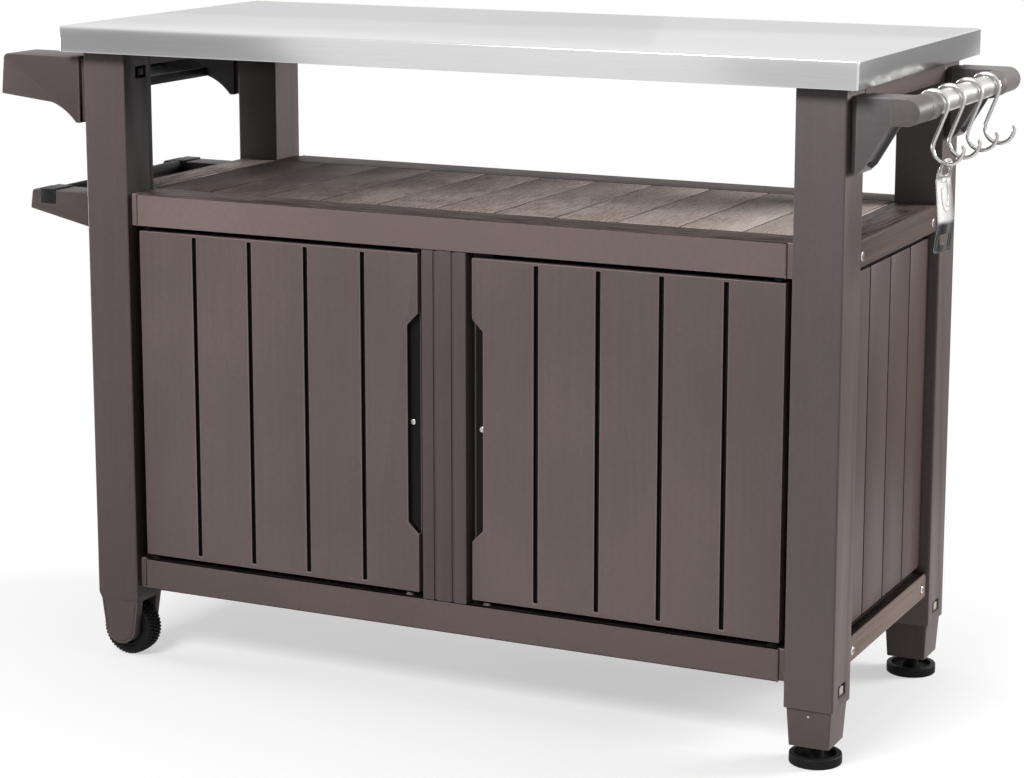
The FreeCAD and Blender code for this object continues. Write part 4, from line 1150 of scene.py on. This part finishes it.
class CART_OT_towel_bar(bpy.types.Operator):
    """Makes the towel bar with its brackets and sockets"""

    bl_idname = "cart.towel_bar"
    bl_label = "Towel bar"

    def execute(self, context):
        socket_edge, tube_wall, tube_bore = 0.5 * MM, 1.5 * MM, 6 * MM
        for side in ("front", "back"):
            self.bracket("bar_bracket_" + side, "bar_arm_" + side)
            node = "bar_socket_" + side
            edge = edge_highlight_finish("socket", "y")
            seat(moulding(node, plastic("socket", "y"), socket_edge, edge=edge, name="bar_end_" + side), node)
        low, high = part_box("towel_bar")
        x, z = (low.x + high.x) / 2, (low.z + high.z) / 2
        bar = rod("towel_rail", (high.x - low.x) / 2, (x, low.y, z), (x, high.y, z), sides=96)
        with shaping(bar):
            pick("FACE", lambda middle, normal: abs(normal.y) > along)
            bpy.ops.mesh.inset(thickness=tube_wall, depth=-tube_bore)
        dress(bar, finish_named("bar_steel", brushed, shade_of("bar"), "y", roughness=0.3), "towel_bar")
        return {"FINISHED"}

    @staticmethod
    def bracket(node, name):
        """A bracket with a hollow in its slanted underside, whose floor is painted near black as shade."""
        rim, lip, hollow, leaning = 2.6 * MM, 0.4 * MM, 6 * MM, 0.4

        def slanted(middle, normal):
            return normal.x > leaning and normal.z < -leaning

        bracket = shell(node, name)
        with shaping(bracket):
            pick("FACE", slanted)
            bpy.ops.mesh.inset(thickness=rim)
            bpy.ops.mesh.inset(thickness=lip, depth=-hollow)
        # Painted shade: the floor of the hollow takes the near-black finish.
        painted(bracket, plastic("bracket", "x"), recess_shade_finish())
        faces = [face for face in bracket.data.polygons if slanted(face.center, face.normal)]
        min(faces, key=lambda face: face.center.dot(face.normal)).material_index = 1
        seat(rounded(bracket, sizes().soft_edge, edge=edge_highlight_finish("bracket", "x")), node)


class CART_OT_hooks(bpy.types.Operator):
    """Bends the wire hooks"""

    bl_idname = "cart.hooks"
    bl_label = "Hooks"

    def execute(self, context):
        low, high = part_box("s_hook_1")
        hook = self.bent_wire(low, high)
        hooks = [hook]
        for number in (2, 3, 4):
            place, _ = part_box(f"s_hook_{number}")
            hooks.append(copied(hook, f"wire_hook_{number}", Matrix.Translation((0, place.y - low.y, 0))))
        for number, made in enumerate(hooks, 1):
            dress(made, bright_finish(), f"s_hook_{number}")
        return {"FINISHED"}

    @staticmethod
    def bent_wire(low, high):
        """An S of wire: a loop over the bar, a straight that touches both loops, and a lower loop."""
        s = sizes()
        wire, wire_edge = s.hook_wire / 2, 0.5 * MM
        tip, end = math.radians(205), math.radians(374)
        upper = Vector((high.x - wire - s.hook_lower - s.hook_step, (low.y + high.y) / 2,
                        high.z - wire - s.hook_upper))
        lower = upper + Vector((s.hook_step, 0, -s.hook_drop))
        fall = math.atan2(-s.hook_drop, s.hook_step)
        lean = math.asin((s.hook_upper + s.hook_lower) / math.hypot(s.hook_step, s.hook_drop))
        leave = fall - lean + math.pi / 2
        enter = leave + math.pi

        def on(centre, radius, turn):
            return centre + radius * Vector((math.cos(turn), 0, math.sin(turn)))

        bpy.ops.object.select_all(action="DESELECT")
        bpy.ops.mesh.primitive_circle_add(
            vertices=24, radius=wire, fill_type="NGON", location=on(upper, s.hook_upper, tip),
            rotation=Vector((-math.sin(tip), 0, math.cos(tip))).to_track_quat("Z", "Y").to_euler())
        hook = settled("wire_hook_1")
        with shaping(hook):
            bpy.ops.mesh.select_all(action="SELECT")
            bpy.ops.mesh.spin(steps=40, angle=leave - tip, center=upper, axis=(0, 1, 0))
            straight = on(lower, s.hook_lower, enter) - on(upper, s.hook_upper, leave)
            bpy.ops.mesh.extrude_region_move(TRANSFORM_OT_translate={"value": straight})
            bpy.ops.mesh.spin(steps=44, angle=end - enter, center=lower, axis=(0, 1, 0))
            bpy.ops.mesh.select_all(action="SELECT")
            bpy.ops.mesh.remove_doubles(threshold=touching)
            bpy.ops.mesh.normals_make_consistent(inside=False)
        return rounded(hook, wire_edge, angle=50)


class CART_OT_opener(bpy.types.Operator):
    """Presses the opener from sheet steel"""

    bl_idname = "cart.opener"
    bl_label = "Opener"

    def execute(self, context):
        s = sizes()
        _, opener_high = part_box("bottle_opener")
        hook_low, hook_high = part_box("s_hook_1")
        x, top = hook_high.x - s.hook_wire / 2 - s.hook_lower, opener_high.z
        y = (hook_low.y + hook_high.y) / 2
        blade = self.pressed(self.blank(x, y, top), x, y, top)
        self.bend(blade, x, y, top)
        # Painted reflection: the opener's steel is darker below its lower bend.
        steel = finish_named("opener_steel", painted_dark_reflection, shade_of("bright"), shade_of("painted_dark_reflection"),
                             top - s.opener_belly)
        dress(blade, steel, "bottle_opener")
        return {"FINISHED"}

    @staticmethod
    def blank(x, y, top):
        """The flat outline, wider at its foot and round at its top, with the hanging hole and the window."""
        s = sizes()
        corner, blade_edge = 5 * MM, 0.4 * MM
        sill, window_half, window_tall, tooth = 6 * MM, 13 * MM, 17 * MM, 5 * MM
        half, half_top, sheet = s.opener_width / 2, s.opener_top_width / 2, s.opener_sheet / 2
        low, shoulder = top - s.opener_length, top - half_top
        hole_z = top - s.opener_rim - s.opener_hole
        blade = block("opener_blade", (x - sheet, y - half, low), (x + sheet, y + half, shoulder))
        with shaping(blade):
            pick("FACE", lambda middle, normal: normal.z > along)
            bpy.ops.transform.resize(value=(1, half_top / half, 1))
            pick("EDGE", lambda middle, run: abs(run.x) > along and middle.z < low + near)
            bpy.ops.mesh.bevel(offset=corner, segments=6)
        crown = rod("crown", half_top, (x - sheet, y, shoulder), (x + sheet, y, shoulder), sides=64)
        with_modifier(blade, "BOOLEAN", operation="UNION", solver="EXACT", object=crown)
        bpy.data.objects.remove(crown)
        hole = rod("hang_hole", s.opener_hole, (x - half, y, hole_z), (x + half, y, hole_z), sides=40)
        cut_out(blade, hole)
        z = low + sill
        pane = block("pane", (x - half, y - window_half, z), (x + half, y + window_half, z + window_tall))
        cut_out(pane, block("tooth", (x - 2 * half, y - tooth, z - past),
                            (x + 2 * half, y + tooth, z + tooth)))
        cut_out(blade, pane)
        return rounded(blade, blade_edge)

    @staticmethod
    def pressed(blade, x, y, top):
        """Raises a bare oval ring on the blade's outer face."""
        drop, half_tall, ring_tall, half_wide = 46 * MM, 19 * MM, 11 * MM, 8 * MM
        bpy.ops.object.select_all(action="DESELECT")
        bpy.ops.mesh.primitive_torus_add(
            major_segments=48, minor_segments=8, major_radius=1, minor_radius=0.1,
            location=(x + sizes().opener_sheet / 2, y, top - drop), rotation=(0, math.pi / 2, 0))
        bpy.context.object.scale = (half_tall, half_wide, ring_tall)
        return joined("opener_blade", [blade, settled("pressed_oval")])

    @staticmethod
    def bend(blade, x, y, top):
        """Bends the blade back at its waist and turns it on its hook."""
        s = sizes()
        bands = 40
        low = top - s.opener_length
        with shaping(blade):
            for band in range(1, bands):
                bpy.ops.mesh.select_all(action="SELECT")
                bpy.ops.mesh.bisect(plane_co=(x, y, low + (top - low) * band / bands), plane_no=(0, 0, 1))

        def bow(drop):
            """How far the blade stands back, from 0 to 1, at a distance under its top."""
            if drop < s.opener_waist:
                return drop / s.opener_waist
            if drop < s.opener_belly:
                return (s.opener_belly - drop) / (s.opener_belly - s.opener_waist)
            return (drop - s.opener_belly) / (s.opener_length - s.opener_belly)

        turn = Matrix.Rotation(-s.opener_turn, 4, "Z")
        centre = Vector((x, y, top - s.opener_rim - s.opener_hole))
        for vertex in blade.data.vertices:
            vertex.co.x -= s.opener_bow * bow(top - vertex.co.z)
            vertex.co = centre + turn @ (vertex.co - centre)


class CART_OT_finishes(bpy.types.Operator):
    """Gives the nodes that stay as they are their finishes"""

    bl_idname = "cart.finishes"
    bl_label = "Finishes"

    def execute(self, context):
        for name, node in nodes.items():
            if not node.hide_render:
                for holder in node.material_slots:
                    holder.link = "OBJECT"
                    holder.material = self.finish_of(name)
        return {"FINISHED"}

    @staticmethod
    def finish_of(name):
        slot = slot_of[name]
        # Painted shade: the hinge pins are painted near black, as they sit in dark gaps by the doors.
        if name == "hinge_pins":
            return recess_shade_finish()
        if slot in ("bright_steel", "fastener_steel", "opener_steel"):
            return bright_finish()
        if slot in ("black_plastic", "board"):
            return black_finish()
        return plastic("leg", "y") if slot == "leg_plastic" else plastic("panel", "x")


# Studio


def lamp(name, place, target, size, power):
    """A soft lamp that faces a point and doesn't show itself."""
    bpy.ops.object.select_all(action="DESELECT")
    place, target = Vector(place), Vector(target)
    bpy.ops.object.light_add(type="AREA", location=place,
                             rotation=(target - place).to_track_quat("-Z", "Y").to_euler())
    made = bpy.context.object
    made.name = name
    made.data.shape = "RECTANGLE"
    made.data.size, made.data.size_y = size
    made.data.energy = power
    made.visible_camera = False
    return made


def glow(maker, strength, kind="Emission"):
    return maker.node(kind, {}, {"Color": (1, 1, 1, 1), "Strength": strength})


def grey_card(name, y, across, heights, shade):
    """An upright card that only steel mirrors, as a photographer's grey card."""
    card_sheet = 1 * MM
    made = block("grey_card_" + name, (across[0], y, heights[0]), (across[1], y + card_sheet, heights[1]))
    made.visible_camera = made.visible_diffuse = made.visible_shadow = made.visible_transmission = False
    maker = Finish(bpy.data.materials.new(made.name))
    maker.node("OutputMaterial", {}, {"Surface": glow(maker, shade)})
    made.data.materials.append(maker.owner)


def shown(maker):
    """1 where the camera, a mirror or a clear piece looks, and 0 where light falls on the object."""
    camera, glossy, through = (maker.node("LightPath", {}, {}, f"Is {kind} Ray")
                               for kind in ("Camera", "Glossy", "Transmission"))
    return camera + glossy + through


class CART_OT_studio(bpy.types.Operator):
    """Sets up the camera, the pale floor and the soft lamps"""

    bl_idname = "cart.studio"
    bl_label = "Studio"

    def execute(self, context):
        studio = context.scene.cart_studio
        context.scene.view_settings.view_transform = "Standard"
        context.scene.camera = self.camera(studio)
        self.floor()
        context.scene.world = self.world(studio.ambient)
        lamp("key_lamp", (-0.5, -3.6, 3.15), (0, 0, 0.4), (2.0, 1.2), studio.key)
        lamp("side_lamp", (2.9, 1.7, 1.5), (0.2, 0, 0.4), (1.4, 0.9), studio.side)
        lamp("left_lamp", (-2.8, -0.2, 0.5), (-0.9, 0, 0), (1.4, 0.4), studio.left)
        overhead = lamp("top_lamp", (0, 0.2, 3.0), (0, 0, 0.9), (2.6, 1.6), studio.top)
        overhead.visible_glossy = False
        grey_card("left", y=-2.0, across=(-2.9, -1.39), heights=(0.05, 1.05), shade=0.42)
        grey_card("front", y=-2.0, across=(-0.05, 0.4), heights=(0.1, 1.05), shade=0.72)
        grey_card("right", y=1.0, across=(0.66, 1.3), heights=(0.0, 0.93), shade=0.3)
        grey_card("back_left", y=2.5, across=(-3.4, -0.8), heights=(0.95, 1.35), shade=0.79)
        grey_card("back", y=2.5, across=(-0.8, 0.8), heights=(0.95, 1.35), shade=0.88)
        grey_card("low", y=0.75, across=(1.3, 2.6), heights=(0.0, 0.4), shade=0.1)
        return {"FINISHED"}

    @staticmethod
    def camera(studio):
        bpy.ops.object.camera_add(location=studio.place, rotation=(studio.tilt, studio.roll, studio.turn))
        camera = bpy.context.object
        camera.name = "photo_camera"
        camera.data.lens = studio.lens
        camera.data.shift_x, camera.data.shift_y = studio.shift_x, studio.shift_y
        camera.data.clip_start, camera.data.clip_end = 0.05, 200
        return camera

    @staticmethod
    def floor():
        """A pale floor that takes the object's shadow and fades to white away from it."""
        fade_start, fade_end, grey, lift = 0.85, 1.5, 0.50, 0.52
        bpy.ops.object.select_all(action="DESELECT")
        bpy.ops.mesh.primitive_plane_add(size=80)
        floor = settled("studio_floor")
        maker = Finish(bpy.data.materials.new("studio_floor"))
        visible = shown(maker)
        away = maker.node("VectorMath", {"operation": "LENGTH"}, {0: maker.place()}, "Value")
        far = maker.spread(away, fade_start, fade_end)
        matt = maker.node("BsdfDiffuse", {}, {"Color": (grey, grey, grey, 1)})
        nearby = maker.node("AddShader", {}, {0: matt, 1: glow(maker, visible * lift)})
        mixed = maker.node("MixShader", {}, {0: far * visible, 1: nearby, 2: glow(maker, 1.0)})
        maker.node("OutputMaterial", {}, {"Surface": mixed})
        floor.data.materials.append(maker.owner)

    @staticmethod
    def world(ambient):
        """White where it's looked at, and dim where it lights the object."""
        maker = Finish(bpy.data.worlds.new("studio_world"))
        mixed = maker.node("MixShader", {}, {0: shown(maker), 1: glow(maker, ambient, "Background"),
                                             2: glow(maker, 1.0, "Background")})
        maker.node("OutputWorld", {}, {"Surface": mixed})
        return maker.owner


class CART_PT_panel(bpy.types.Panel):
    """Lists the pieces of the grill cart"""

    bl_idname = "CART_PT_panel"
    bl_label = "Grill cart"
    bl_space_type = "VIEW_3D"
    bl_region_type = "UI"
    bl_category = "Grill cart"

    def draw(self, context):
        for operator in OPERATORS:
            self.layout.operator(operator.bl_idname)
        for group in (context.scene.cart_sizes, context.scene.cart_colours, context.scene.cart_studio):
            for key in group.bl_rna.properties.keys():
                if key not in ("rna_type", "name"):
                    self.layout.prop(group, key)


OPERATORS = (CART_OT_studio, CART_OT_worktop, CART_OT_deck, CART_OT_rails, CART_OT_doors, CART_OT_walls,
             CART_OT_legs, CART_OT_leg_ends, CART_OT_feet, CART_OT_wheels, CART_OT_left_end,
             CART_OT_towel_bar, CART_OT_hooks, CART_OT_opener, CART_OT_finishes)
GROUPS = {"cart_sizes": CartSizes, "cart_colours": CartColours, "cart_studio": CartStudio}


def register():
    for group in GROUPS.values():
        bpy.utils.register_class(group)
    for name, group in GROUPS.items():
        setattr(bpy.types.Scene, name, PointerProperty(type=group))
    for operator in OPERATORS:
        bpy.utils.register_class(operator)
    bpy.utils.register_class(CART_PT_panel)


def unregister():
    bpy.utils.unregister_class(CART_PT_panel)
    for operator in reversed(OPERATORS):
        bpy.utils.unregister_class(operator)
    for name, group in GROUPS.items():
        delattr(bpy.types.Scene, name)
        bpy.utils.unregister_class(group)


def main():
    register()
    for operator in OPERATORS:
        family, name = operator.bl_idname.split(".")
        getattr(getattr(bpy.ops, family), name)()


if __name__ == "__main__":
    main()
